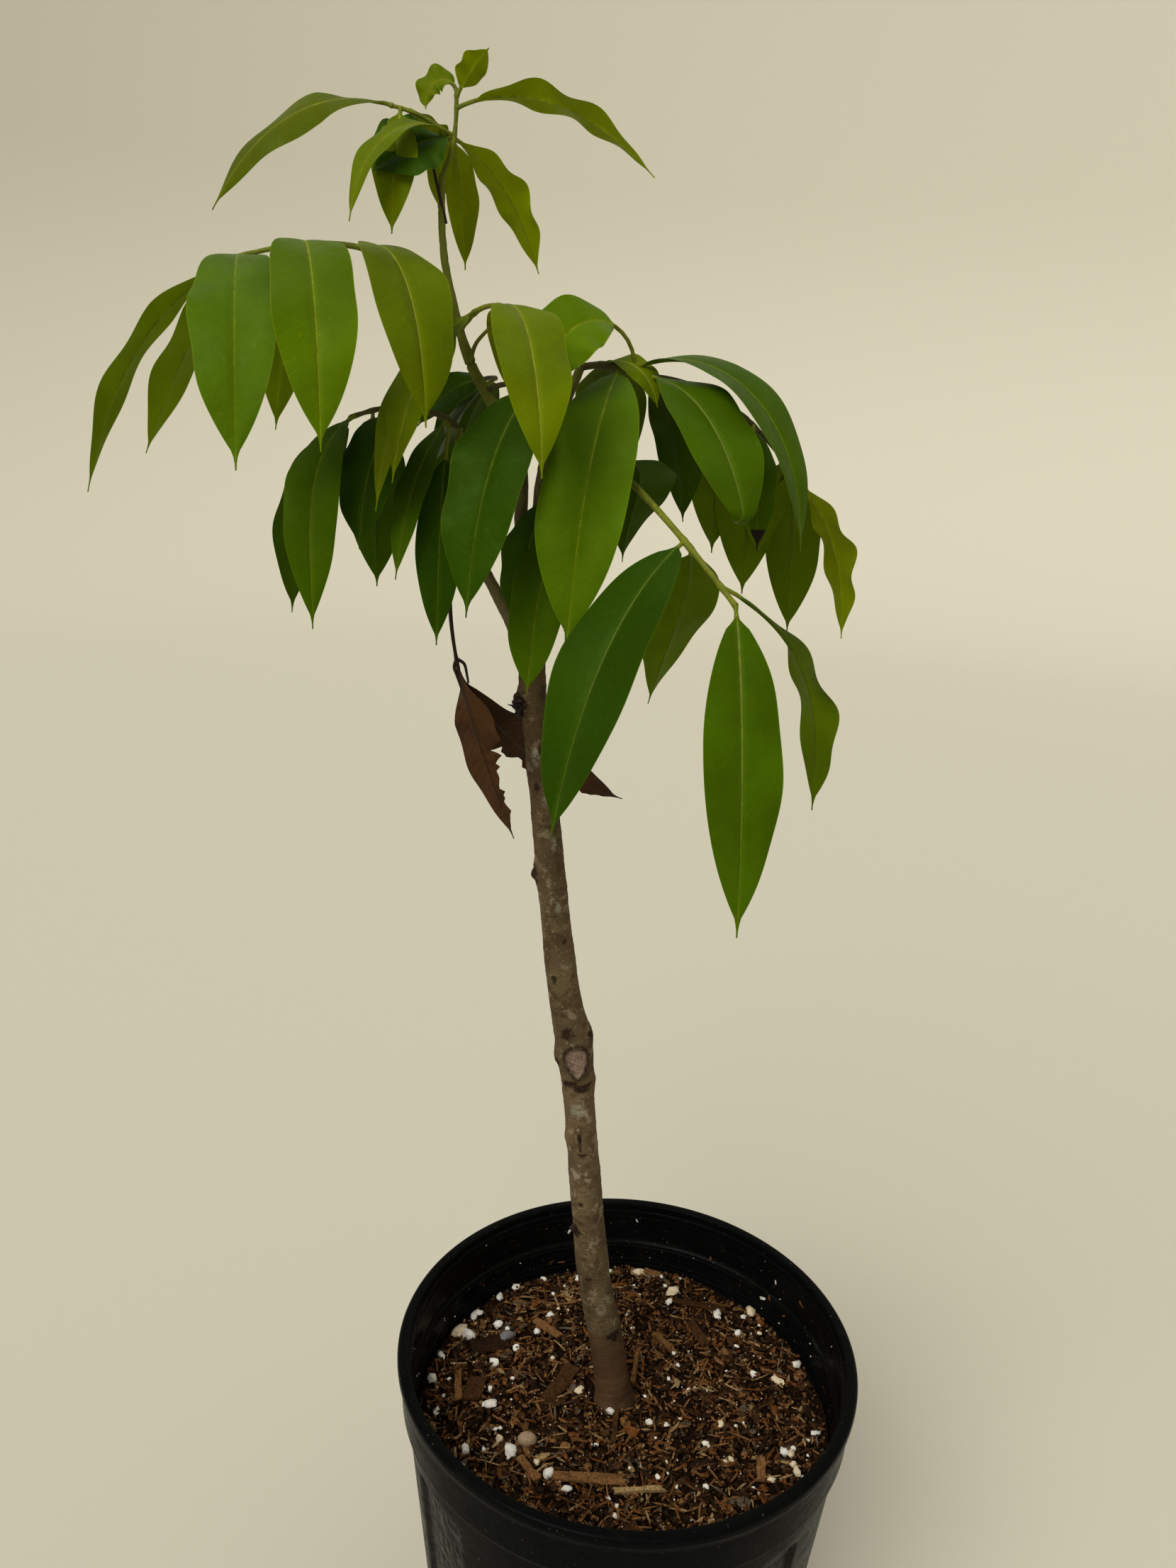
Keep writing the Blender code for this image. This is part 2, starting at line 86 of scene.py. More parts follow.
# Potting mix
SOIL_LEVEL = 190 * MM
SOIL_SWELL = 3 * MM
SOIL_WAVE = 50
SOIL_RIPPLE = 88
SOIL_FLAT = 26 * MM
SOIL_FLAT_EDGE = 20 * MM
SOIL_CELLS = 150
SOIL_SIDES = 240
SOIL_GAP = 0.6 * MM
BED_GRAIN = 210
BED_LUMPS = 1.5 * MM
BED_SUNK = 1.2 * MM  # how far the ground lies under the loose bits

# Limbs, as in the source
Knot = namedtuple("Knot", "x y z thick")
LIMBS = {
    "trunk": [
        (-5, 4, 188, 26), (-7, 4, 202, 22), (-14, 5, 240, 20.5), (-24, 6, 288, 20),
        (-38, 5, 404, 18.5), (-42, 4, 436, 20.5), (-51, 3, 480, 17.5), (-64, 2, 574, 15),
        (-73, 2, 640, 14), (-77, 2, 700, 13), (-78, 2, 729, 14.5),
    ],
    "left_bough": [
        (-76, 2, 660, 8), (-91, 0, 688, 6.5), (-104, 0, 712, 5.5), (-113, 2, 742, 5), (-115, 4, 772, 4.2),
    ],
    "leader": [
        (-80, 2.5, 716, 9), (-82.4, 3, 729.3, 7), (-84, 4, 758, 6.2), (-96, 5, 780, 5.8),
        (-110, 5, 803, 5.2), (-119, 4, 830, 4.3), (-124, 4, 855, 3.6), (-125, 4, 884, 2.9),
    ],
    "right_bough": [
        (-76, 1.5, 716, 8.5), (-74.6, 1, 729.3, 6.4), (-72, 0, 756, 5.6), (-65, -1, 780, 5),
        (-56, -2, 803, 4.4),
    ],
}
LIMBS = {name: [Knot(*row) for row in rows] for name, rows in LIMBS.items()}
LIMB_SIDES = {"trunk": 84, "left_bough": 28, "leader": 28, "right_bough": 28}
RING_GAP = {"trunk": 1.2, "left_bough": 1.5, "leader": 1.5, "right_bough": 1.5}
# Heights between which a bough turns from brown to olive
GREENING = {"left_bough": (690, 770), "leader": (736, 800), "right_bough": (740, 830)}

# Knobs on the trunk: height, heading round it, how far it stands out, how far it spreads
Knob = namedtuple("Knob", "z heading out spread")
KNOBS = [Knob(*row) for row in (
    (432, 268, 1.6, 13), (432, 185, 1.6, 6), (444, 350, 1.8, 6), (414, 0, 1.4, 5),
    (378, 185, 1.2, 5), (543, 185, 2.8, 6), (638, 190, 4.5, 5), (244, 300, 1.2, 5),
)]
KNOB_ROUND = 10
# Marks on the bark: height, heading, half height, half width
Mark = namedtuple("Mark", "z heading tall wide")
PRUNING_SCAR = Mark(431, 275, 9.5, 4.3)
ROUGH_SCARS = [Mark(*row) for row in (
    (449, 262, 3.8, 4.2), (416, 246, 2.6, 6), (413, 288, 2.8, 7.5), (444, 338, 3, 2.2),
    (431, 206, 3, 2.4), (482, 244, 2.2, 2.4), (316, 216, 4, 3.4), (284, 256, 2, 2),
    (244, 302, 3.6, 3.8), (543, 190, 6, 5), (377, 264, 7, 1.1), (369.5, 268, 1.6, 5),
    (337, 250, 1.6, 2), (592, 250, 3, 2.4), (612, 285, 2, 2), (504, 300, 1.6, 1.6),
    (638, 205, 7, 6), (300, 70, 3, 3), (388, 100, 3, 3), (470, 60, 3, 3), (560, 80, 3, 3),
)]
PALE_MARKS = [Mark(*row) for row in (
    (399, 266, 4, 4.5), (524, 290, 2.6, 2), (610, 262, 4, 3), (584, 280, 3, 2.4),
    (560, 296, 3, 2), (262, 282, 3, 3), (330, 120, 7, 6), (500, 90, 6, 5),
)]
SCAR_POINT = 0.42  # how much narrower the pruning scar is towards its lower end
CALLUS_TALL = 11.4  # half height of the rim that has healed round it
CALLUS_WIDER = 1.7
STAIN_TOP = 246  # height to which the mix has stained the bark
BUDS = [Knob(444, 345, 1.6, 2), Knob(431, 200, 1.2, 1.8), Knob(316, 208, 1.4, 2.2), Knob(244, 305, 1.2, 2.4)]
BUD_OUT = 10.2
# The black broken stub: its height, the headings between which it lies, its lumps and its spikes
STUB_HEIGHT = 634
STUB_HEADINGS = (165, 235)
STUB_LUMPS = 9
STUB_SPIKES = 5

# Leaflets, as in the source, and their finer shape: how wavy their margins are, their tint, how the tip
# hooks under, where the margin is torn, from where the tip is dry, and how steeply the halves fold up
Leaf = namedtuple("Leaf", "at heading rise dip length width roll turn foot full fold wave tint hook torn dry",
                  defaults=(0, 0, 4, 2.3, 12, 0.05, None, None, None, None))
Spray = namedtuple("Spray", "start heading rise dip length turn thick leaves")
MASSES = {
    "left_fan_foliage": [
        Spray(("leader", 829), 187, 48, -18, 107, 0, 3.4, [
            Leaf(0.44, 301, 8, -83, 122, 38, 4, 0, 4, 2.8, tint="young"),
            Leaf(0.72, 288, 5, -80, 140, 36, -6, full=2.9, wave=0.06),
            Leaf(1.0, 284, 0, -78, 139, 38, -12, full=2.7, tint="bright"),
            Leaf(0.98, 187, -24, -76, 140, 19, -25, 0, 12, wave=0.12),
            Leaf(0.96, 147, -34, -58, 126, 26, wave=0.1),
            Leaf(0.66, 118, -15, -62, 128, 30, wave=0.1),
            Leaf(0.25, 82, -10, -70, 82, 28),
        ]),
    ],
    "centre_fan_foliage": [
        Spray(("leader", 817), 305, 40, -8, 46, 0, 3, [
            Leaf(0.35, 236, -20, -78, 100, 25, wave=0.08),
            Leaf(0.2, 234, -20, -80, 112, 20),
            Leaf(1.0, 288, 3, -76, 112, 32, wave=0.07),
            Leaf(0.85, 80, 0, -72, 70, 26),
        ]),
    ],
    "left_foliage": [
        Spray(("left_bough", 772), 190, 40, -22, 55, 0, 3.2, [
            Leaf(1.0, 140, -35, -82, 117, 34, tint="deep"),
            Leaf(0.96, 235, -25, -86, 116, 26, 0, 70),
            Leaf(0.55, 246, -30, -84, 78, 34, tint="deep"),
            Leaf(0.12, 243, -35, -78, 88, 18),
            Leaf(0.8, 98, -40, -78, 104, 32, tint="deep"),
            Leaf(0.1, 268, -55, -88, 112, 23, 0, 0, 20, tint="deep", wave=0.03),
        ]),
    ],
    "near_left_foliage": [
        Spray(("leader", 790), 325, 25, -10, 34, 0, 3, [
            Leaf(1.0, 249, -15, -82, 131, 38, full=2.8),
        ]),
    ],
    "back_left_foliage": [
        Spray(("leader", 794), 70, 25, 0, 18, 0, 2.8, [
            Leaf(0.92, 182, -42, -72, 84, 26, 20),
            Leaf(1.0, 120, -15, -76, 104, 34),
            Leaf(1.0, 192, 0, -55, 48, 22, 40),
        ]),
    ],
    "inner_foliage": [
        Spray(("right_bough", 742), 330, 10, -20, 22, 0, 3, [
            Leaf(1.0, 247, -25, -86, 104, 26, 20, 0, 14, 3, tint="green"),
            Leaf(0.3, 240, -40, -88, 72, 28, tint="deep"),
            Leaf(0.5, 350, -80, -88, 80, 32, tint="deep"),
        ]),
    ],
    "right_foliage": [
        Spray(("right_bough", 803), 345, 14, -18, 36, 0, 3.6, [
            # Painted light: the bright tint lightens this leaflet where the leaflets round it shade it
            Leaf(0.55, 256, -28, -80, 150, 42, full=3, tint="bright"),
            Leaf(0.75, 214, 92, -84, 84, 36, 40, 0, 24, tint="fresh"),
            Leaf(0.7, 336, 26, -84, 142, 28, -18, 0, 6, wave=0.03),
            Leaf(1.0, 308, -5, -68, 106, 34, -20, full=3, tint="green", hook=(0.86, -150)),
            Leaf(0.3, 338, 30, -72, 40, 15, -35, tint="young"),
            Leaf(0.68, 100, -20, -78, 80, 30),
            Leaf(0.97, 55, -30, -80, 82, 28, tint="deep"),
            Leaf(0.45, 92, 0, -72, 112, 34),
        ]),
        Spray(("stalk", 1.0), 12, 0, -50, 94, 0, 3, [
            Leaf(0.35, 80, -30, -75, 96, 30),
            Leaf(0.55, 76, -40, -80, 102, 34),
            Leaf(0.6, 278, -40, -80, 66, 18, dry=0.84),
            Leaf(0.85, 100, -30, -80, 58, 24),
            Leaf(0.92, 74, -30, -80, 104, 30),
            Leaf(1.0, 34, -30, -84, 94, 23, wave=0.14, tint="young"),
        ]),
    ],
    "lower_right_foliage": [
        Spray(("right_bough", 778), 310, -20, -36, 148, 0, 3.8, [
            Leaf(0.72, 231, -25, -76, 150, 42, full=2.8, tint="deep", wave=0.04),
            Leaf(0.75, 75, -40, -75, 92, 36, 0, 80),
            Leaf(0.92, 352, -20, -90, 122, 28, 0, 60, 8, wave=0.1),
            Leaf(1.0, 279, -55, -82, 142, 34),
            Leaf(0.32, 40, 20, -88, 80, 36, 0, 120, tint="deep"),
        ]),
    ],
    "top_foliage": [
        Spray(("leader", 884), 0, 62, 92, 36, 0, 2.6, [
            Leaf(0.48, 40, -14, -66, 76, 20, 20, 0, 3, wave=0.14),
            Leaf(0.46, 88, -15, -72, 69, 16, 0, 0, 3, wave=0.1),
            # Painted shade: this leaflet has the deep tint so that it looks shaded by the leaflet above it
            Leaf(0.5, 208, -10, -38, 44, 35, 48, 0, 3, 3, tint="deep"),
            Leaf(0.5, 218, 24, -80, 80, 13, 25, 0, 6, wave=0.1),
            Leaf(0.83, 345, 22, -43, 106, 19, 26, 0, 9, wave=0.12),
            Leaf(0.96, 335, 60, 40, 25, 14, 30, 0, 4, wave=0.12),
            Leaf(0.96, 180, 100, -95, 27, 15, 60, 0, 5, wave=0.12),
        ]),
        Spray(("stalk", 0.42), 182, 52, 10, 32, 0, 2.4, [
            Leaf(1.0, 182, 16, -60, 105, 22, 48, 0, 3, 2.3, -8, wave=0.08, tint="olive"),
            Leaf(0.74, 75, 2, -45, 44, 20, 0, 0, 3, wave=0.1),
            Leaf(0.88, 268, -52, -84, 60, 21, 0, 0, 3, 1.8),
            Leaf(0.25, 100, -40, -70, 36, 12, 0, 0, 3),
        ]),
    ],
    "hanging_dead_spray": [
        Spray(("left_bough", 733), 190, -70, -102, 84, 0, 2.8, [
            Leaf(0.92, 2, -76, -68, 102, 28, 60, torn=(1, 0.42, 0.92, 0.8), wave=0.08),
            Leaf(1.0, 39, -58, -22, 148, 30, 66, torn=(-1, 0.30, 0.8, 0.6), wave=0.1),
        ]),
    ],
}
# How a mass looks, where it isn't like the mature leaves
Look = namedtuple("Look", "tint twigs slot", defaults=("green", "brown_stalk", "green_leaf"))
MASS_LOOKS = {
    "left_fan_foliage": Look("fresh", "green_stalk", "young_leaf"),
    "centre_fan_foliage": Look("young", "green_stalk", "young_leaf"),
    "near_left_foliage": Look("deep"),
    "back_left_foliage": Look("deep"),
    "lower_right_foliage": Look(twigs="green_stalk"),
    "top_foliage": Look("young", "green_stalk", "young_leaf"),
    "hanging_dead_spray": Look("dead", "dead_stalk", "dead_leaf"),
}
# Thin twigs that only this script makes: their points and thickness
Twig = namedtuple("Twig", "finish thick points")
LOOSE_TWIGS = [
    Twig("dead_stalk", 2.2, [(-123, 4, 864), (-125, 3, 873), (-127.5, 3, 882), (-129.5, 3, 890)]),
    Twig("green_stalk", 2.2, [(-110, 4, 803), (-106.5, 0, 812), (-97, -4, 821), (-92, -9, 822)]),
    Twig("dead_stalk", 1.9, [(-113.6, 1, 657), (-114.6, 1, 653), (-113, 1, 648.5), (-109.4, 1, 638.5)]),
    Twig("dead_stalk", 1.9, [(-113.4, 1, 657.5), (-109.4, 1, 655), (-107.8, 1, 649), (-107, 1, 645)]),
]

LIMB_GAP = 8  # gap between the points of a limb's centre line, where only its course counts
WALK_STEPS = 96
DROOP = 1.5
WIDEST = 0.42
OVAL_END = 0.96
BASE_FULL = 0.72
DRIP_START = 0.7
DRIP_SLOPE = 1.2
ROLL_SHARE = 1 / 3
STALK_TIP = 0.62
STALK_SIDES = 12
NODE_SWELL = 0.3  # how much a stalk thickens where a leaflet leaves it
NODE_SPREAD = 2.4  # over how far
FOOT_RADIUS = 0.95
TIP_HALF = 0.35
FOOT_RINGS = 5
BLADE_RINGS = 52
BLADE_BOW = 0.1  # how far a leaflet's halves arch over
BLADE_SKIN = 0.42
RIB_HALF = 0.44
RIB_GROOVE = 0.22
RIB_RIDGE = 0.95
TOP_SHARES = (1.0, 0.82, 0.62, 0.42, 0.22)

# Bits that stand out on the mix: kind, place, length, width, and heading
Bit = namedtuple("Bit", "kind x y long wide heading", defaults=(0,))
WHITE, CREAM, PEBBLE, STONE = "white_grain", "cream_grain", "pebble", "grey_stone"
DARK, BROWN, TAN, RUST, STRAW = "chip_dark", "chip_brown", "chip_tan", "chip_rust", "chip_straw"
NAMED_BITS = [Bit(*row) for row in (
    (CREAM, -110, 55, 14, 10, 20), (WHITE, -102, 51, 11, 9), (WHITE, -83, 27, 9, 7), (CREAM, -27, 7, 9, 7),
    (WHITE, -8, -8, 8, 6), (WHITE, -83, -10, 11, 6, 120), (WHITE, -67, -42, 11, 10),
    (PEBBLE, -58, -34, 15, 12, 80), (WHITE, -94, -42, 8, 7), (WHITE, -44, -59, 8, 8),
    (TAN, -21, -60, 46, 9, 2), (BROWN, -39, 12, 34, 12, 62), (BROWN, -94, 2, 22, 15, 80),
    (TAN, -104, 5, 30, 6, 96), (TAN, -56, -56, 20, 6, 128), (STRAW, 8, -66, 32, 4, 8),
    (CREAM, 14, 120, 12, 8, 100), (TAN, 23, 119, 13, 6, 160), (CREAM, 37, 100, 12, 9, 100),
    (WHITE, 34, 91, 7, 6), (WHITE, 67, 82, 10, 7), (CREAM, 93, 86, 10, 8), (CREAM, 101, 23, 12, 7, 120),
    (WHITE, 86, 29, 6, 6), (WHITE, 97, -33, 8, 7), (CREAM, 101, -34, 7, 6), (WHITE, 48, -58, 5, 5),
    (STONE, -77, 50, 16, 11, 150), (DARK, -88, 42, 26, 16, 20), (WHITE, -92, 97, 9, 6),
    (WHITE, 16, -15, 6, 5), (WHITE, 119, -17, 9, 5, 60), (RUST, 5, -24, 10, 7, 150),
    (BROWN, -5, -22, 26, 4, 84), (TAN, 9, 30, 34, 4, 82), (TAN, 81, -48, 17, 7, 84),
    (WHITE, -79, 106, 7, 5), (WHITE, -55, 110, 6, 5), (WHITE, -31, 112, 6, 5), (WHITE, -115, -15, 8, 5),
    (WHITE, -121, 9, 8, 7), (WHITE, -33, -67, 8, 5), (CREAM, 86, -55, 7, 5), (WHITE, -70, 42, 7, 6),
    (WHITE, -118, 30, 8, 6), (WHITE, -101, 71, 10, 6, 70), (WHITE, -84, 62, 9, 7),
    (WHITE, -49, 71, 8, 6, 70), (WHITE, -57, 56, 6, 6), (BROWN, 60, 96, 40, 7, 168),
    (TAN, 30, 52, 24, 6, 128), (TAN, -50, 58, 24, 7, 140), (BROWN, 52, 62, 26, 8, 110),
    (STRAW, -18, -104, 34, 5, 20),
)]
GRAIN_SIZE = 0.8  # the grains' lumps swell past their named size
GRAIN_ROUGH = 0.34
CHIP_KINDS = (DARK, BROWN, TAN, RUST, STRAW, "chip_grey")
CHIP_SHARES = (40, 26, 15, 9, 4, 6)
SLIVER_SHARES = (14, 26, 32, 12, 12, 4)
CRUMB_SHARES = (34, 24, 20, 12, 7, 3)
CHIP_COUNT = 5000
SLIVER_COUNT = 1500
CRUMB_COUNT = 3600
GRAIN_COUNT = 120
SPECK_COUNT = 220
WALL_COUNT = 150
TURN = 6.3  # a whole turn, for chance headings
# Where the random draws of the mix, the wall, the stub and the leaflets start
SHRED_SEED, GRAIN_SEED, WALL_SEED, STUB_SEED, LEAF_SEED = 11, 23, 5, 3, 41

# Colours, and heights in metres
PLASTIC = (0.0022, 0.0024, 0.0025)
PLASTIC_DUST = (0.030, 0.030, 0.028)
PLASTIC_SCUFF = (0.085, 0.085, 0.08)
PLASTIC_SPECK = (0.16, 0.14, 0.11)
BARK = (0.104, 0.071, 0.034)
BARK_PALE = (0.250, 0.200, 0.128)
BARK_BROWN = (0.046, 0.024, 0.009)
BARK_DARK = (0.022, 0.011, 0.006)
BARK_SHADE_HEIGHTS = (0.51, 0.62)  # heights between which painted shade darkens the bark
BARK_LIGHT_HEIGHTS = (0.315, 0.345)  # and between which painted light makes it palest
BARK_LIGHT_HEIGHTS_END = (0.40, 0.43)
# How much the painted shade darkens the upper bark, and how much the painted light brightens the band lower
# down
BARK_PAINTED_SHADE = (0.66, 0.64, 0.60)
BARK_PAINTED_LIGHT = (1.32, 1.34, 1.45)
SOIL_STAIN = (0.060, 0.030, 0.013)
LICHEN = (0.30, 0.29, 0.22)
SCAR_WOOD = (0.265, 0.180, 0.138)
PEAT = (0.012, 0.0054, 0.0023)
GRAIN_DUST = (0.16, 0.085, 0.035)
# A grain's colour, and how much dust lies in its pits
GRAINS = {
    WHITE: ((0.80, 0.77, 0.68), 0.35), CREAM: ((0.72, 0.60, 0.40), 0.45),
    PEBBLE: ((0.36, 0.25, 0.15), 0.5), STONE: ((0.16, 0.15, 0.15), 0.4),
}
# A living leaflet: its colour, that of its veins, how rough and how shiny it is, and how much redder
# and greener it is underneath
TINTS = {
    "young": ((0.103, 0.146, 0.0003), (0.25, 0.29, 0.005), 0.5, 0.1, 2.0, 1.8),
    "olive": ((0.074, 0.098, 0.0003), (0.20, 0.22, 0.005), 0.48, 0.1, 2.0, 1.8),
    "fresh": ((0.080, 0.143, 0.0003), (0.23, 0.29, 0.005), 0.48, 0.1, 1.85, 1.55),
    # bright, green and deep are one mature colour at three strengths, given leaf by leaf: partly real
    # difference, partly painted light on the bright leaflets and painted shade on the deep ones
    "bright": ((0.064, 0.124, 0.0003), (0.17, 0.24, 0.004), 0.46, 0.12, 1.7, 1.4),
    "green": ((0.045, 0.093, 0.0003), (0.14, 0.20, 0.004), 0.45, 0.12, 1.8, 1.4),
    "deep": ((0.020, 0.052, 0.0003), (0.09, 0.145, 0.004), 0.43, 0.11, 1.8, 1.4),
}
BLADE_SHINE = (0.6, 1.0, 0.15)
VEIN_GAP = 3.1
DEAD = (0.074, 0.028, 0.0055)
OLIVE = (0.100, 0.112, 0.008)
STALKS = {
    "green_stalk": (0.125, 0.145, 0.006),
    "brown_stalk": (0.060, 0.052, 0.012),
    "dead_stalk": (0.020, 0.011, 0.007),
    "bough_bark": (0.075, 0.062, 0.020),
    "char": (0.010, 0.005, 0.003),
}
CHIPS = {
    "chip_dark": (0.022, 0.0095, 0.0036),
    "chip_brown": (0.056, 0.024, 0.0078),
    "chip_tan": (0.175, 0.084, 0.029),
    "chip_rust": (0.148, 0.052, 0.012),
    "chip_straw": (0.300, 0.195, 0.085),
    "chip_grey": (0.092, 0.068, 0.044),
}

# Stage and light
FLOOR = (0.55, 0.525, 0.43)
FLOOR_GLOW = 0.12  # evens out the wall where it is turned from the light
STAGE_RADIUS, STAGE_CURVE, STAGE_HEIGHT = 6.0, 2.0, 6.0
STAGE_SIDES = 96
PALE_LIGHT = (1.0, 0.985, 0.95)
SKY_POWER = 0.58
KEY_POWER = 2.1
KEY_SPREAD = radians(38)
KEY_PLACE = Vector((-1.2, -1.7, 2.6))
KEY_AIM = Vector((0, 0, 0.5))


# Shapes


class Gather:
    """Points and faces of one piece, with a finish for each face and four values for each point."""

    def __init__(self, name):
        self.name = name
        self.points, self.faces, self.finishes, self.values = [], [], [], []

    def add(self, points, faces, finishes, values=None):
        first = len(self.points)
        self.points += [tuple(p) for p in points]
        self.faces += [tuple(first + i for i in face) for face in faces]
        self.finishes += finishes if isinstance(finishes, list) else [finishes] * len(faces)
        self.values += values or [(0.0, 0.0, 0.0, 0.0)] * len(points)

    def lay(self, shape, base, finish):
        """Adds a shape that was made about the origin."""
        points, faces = shape
        self.add([base + p for p in points], faces, finish)

    def piece(self, slot, *nodes, smooth=60):
        mesh = bpy.data.meshes.new(self.name)
        mesh.from_pydata(self.points, [], self.faces)
        names = sorted(set(self.finishes))
        for name in names:
            mesh.materials.append(FINISHES[name])
        places = {name: k for k, name in enumerate(names)}
        mesh.polygons.foreach_set("material_index", [places[name] for name in self.finishes])
        attribute = mesh.attributes.new("place", "FLOAT_COLOR", "POINT")
        attribute.data.foreach_set("color", [v for value in self.values for v in value])
        mesh.update()
        mesh.shade_smooth()
        mesh.set_sharp_from_angle(angle=radians(smooth))
        thing = stand_in_scene(self.name, mesh)
        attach(thing, "root")
        if nodes:
            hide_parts(*nodes)


def stand_in_scene(name, data):
    """A new object of the scene, made of a mesh, a light or a camera."""
    thing = bpy.data.objects.new(name, data)
    bpy.context.scene.collection.objects.link(thing)
    return thing


def ring_faces(rings, count, caps=True):
    """Quads between rings of points that are stored one after another, and caps at both ends."""
    faces = []
    for low in range(0, (rings - 1) * count, count):
        high = low + count
        for k in range(count):
            after = (k + 1) % count
            faces.append((low + k, low + after, high + after, high + k))
    if caps:
        faces.append(tuple(reversed(range(count))))
        faces.append(tuple((rings - 1) * count + k for k in range(count)))
    return faces


def outward(points, faces):
    """The faces, turned over if the closed shape they make is inside out."""
    volume = 0.0
    middle = points[0]
    for face in faces:
        a = points[face[0]] - middle
        for b, c in zip(face[1:], face[2:]):
            volume += a.dot((points[b] - middle).cross(points[c] - middle))
    return faces if volume > 0 else [tuple(reversed(face)) for face in faces]


def smooth_step(low, high, value):
    t = min(max((value - low) / (high - low), 0.0), 1.0)
    return t * t * (3 - 2 * t)


def angles(count):
    """Even angles of a whole turn."""
    return [2 * pi * k / count for k in range(count)]


def circle(radius, angle):
    """The place on a level circle about the origin."""
    return radius * cos(angle), radius * sin(angle)


def turned(a, b, angle):
    """The direction at an angle from a towards b."""
    return a * cos(angle) + b * sin(angle)


def spin(turn, tilt=0, lean=0):
    """Leans a piece over, tilts it and turns it round."""
    return Matrix.Rotation(turn, 3, "Z") @ Matrix.Rotation(tilt, 3, "Y") @ Matrix.Rotation(lean, 3, "X")


def curve_points(knots, gap):
    """Points and thicknesses on a smooth curve through knots, about a gap apart."""
    knots = [Vector((k.x, k.y, k.z, k.thick)) * MM for k in knots]
    ends = [2 * knots[0] - knots[1]] + knots + [2 * knots[-1] - knots[-2]]
    points = []
    for before, a, b, after in zip(ends, ends[1:], ends[2:], ends[3:]):
        steps = max(2, round((b - a).to_3d().length / (gap * MM)))
        for k in range(steps):
            t = k / steps
            bend = (2 * before - 5 * a + 4 * b - after) * t ** 2
            twist = (3 * a - before - 3 * b + after) * t ** 3
            points.append((2 * a + (b - before) * t + bend + twist) / 2)
    points.append(knots[-1])
    return [point.to_3d() for point in points], [point.w for point in points]


def limb_point(name, height):
    """The point of a limb's centre line at a height."""
    points = curve_points(LIMBS[name], LIMB_GAP)[0]
    for a, b in zip(points, points[1:]):
        if b.z >= height * MM - 1e-9:
            return a.lerp(b, (height * MM - a.z) / (b.z - a.z))
    return points[-1]


def path_ahead(points, k):
    """The direction of a path at one of its points."""
    return (points[min(k + 1, len(points) - 1)] - points[max(k - 1, 0)]).normalized()


def across_path(points, k):
    """The two directions across a path at one of its points."""
    ahead = path_ahead(points, k)
    across = ahead.cross(UP if abs(ahead.z) < 0.9 else Vector((0, 1, 0))).normalized()
    return across, ahead.cross(across).normalized()


def tube(points, radii, sides):
    """Points and faces of a round tube with closed ends, whose sides turn as little as they can."""
    across = across_path(points, 0)[0]
    verts = []
    for k, point in enumerate(points):
        ahead = path_ahead(points, k)
        across = (across - ahead * across.dot(ahead)).normalized()
        other = ahead.cross(across).normalized()
        verts += [point + turned(across, other, angle) * radii[k] for angle in angles(sides)]
    return verts, outward(verts, ring_faces(len(points), sides))


# Finishes


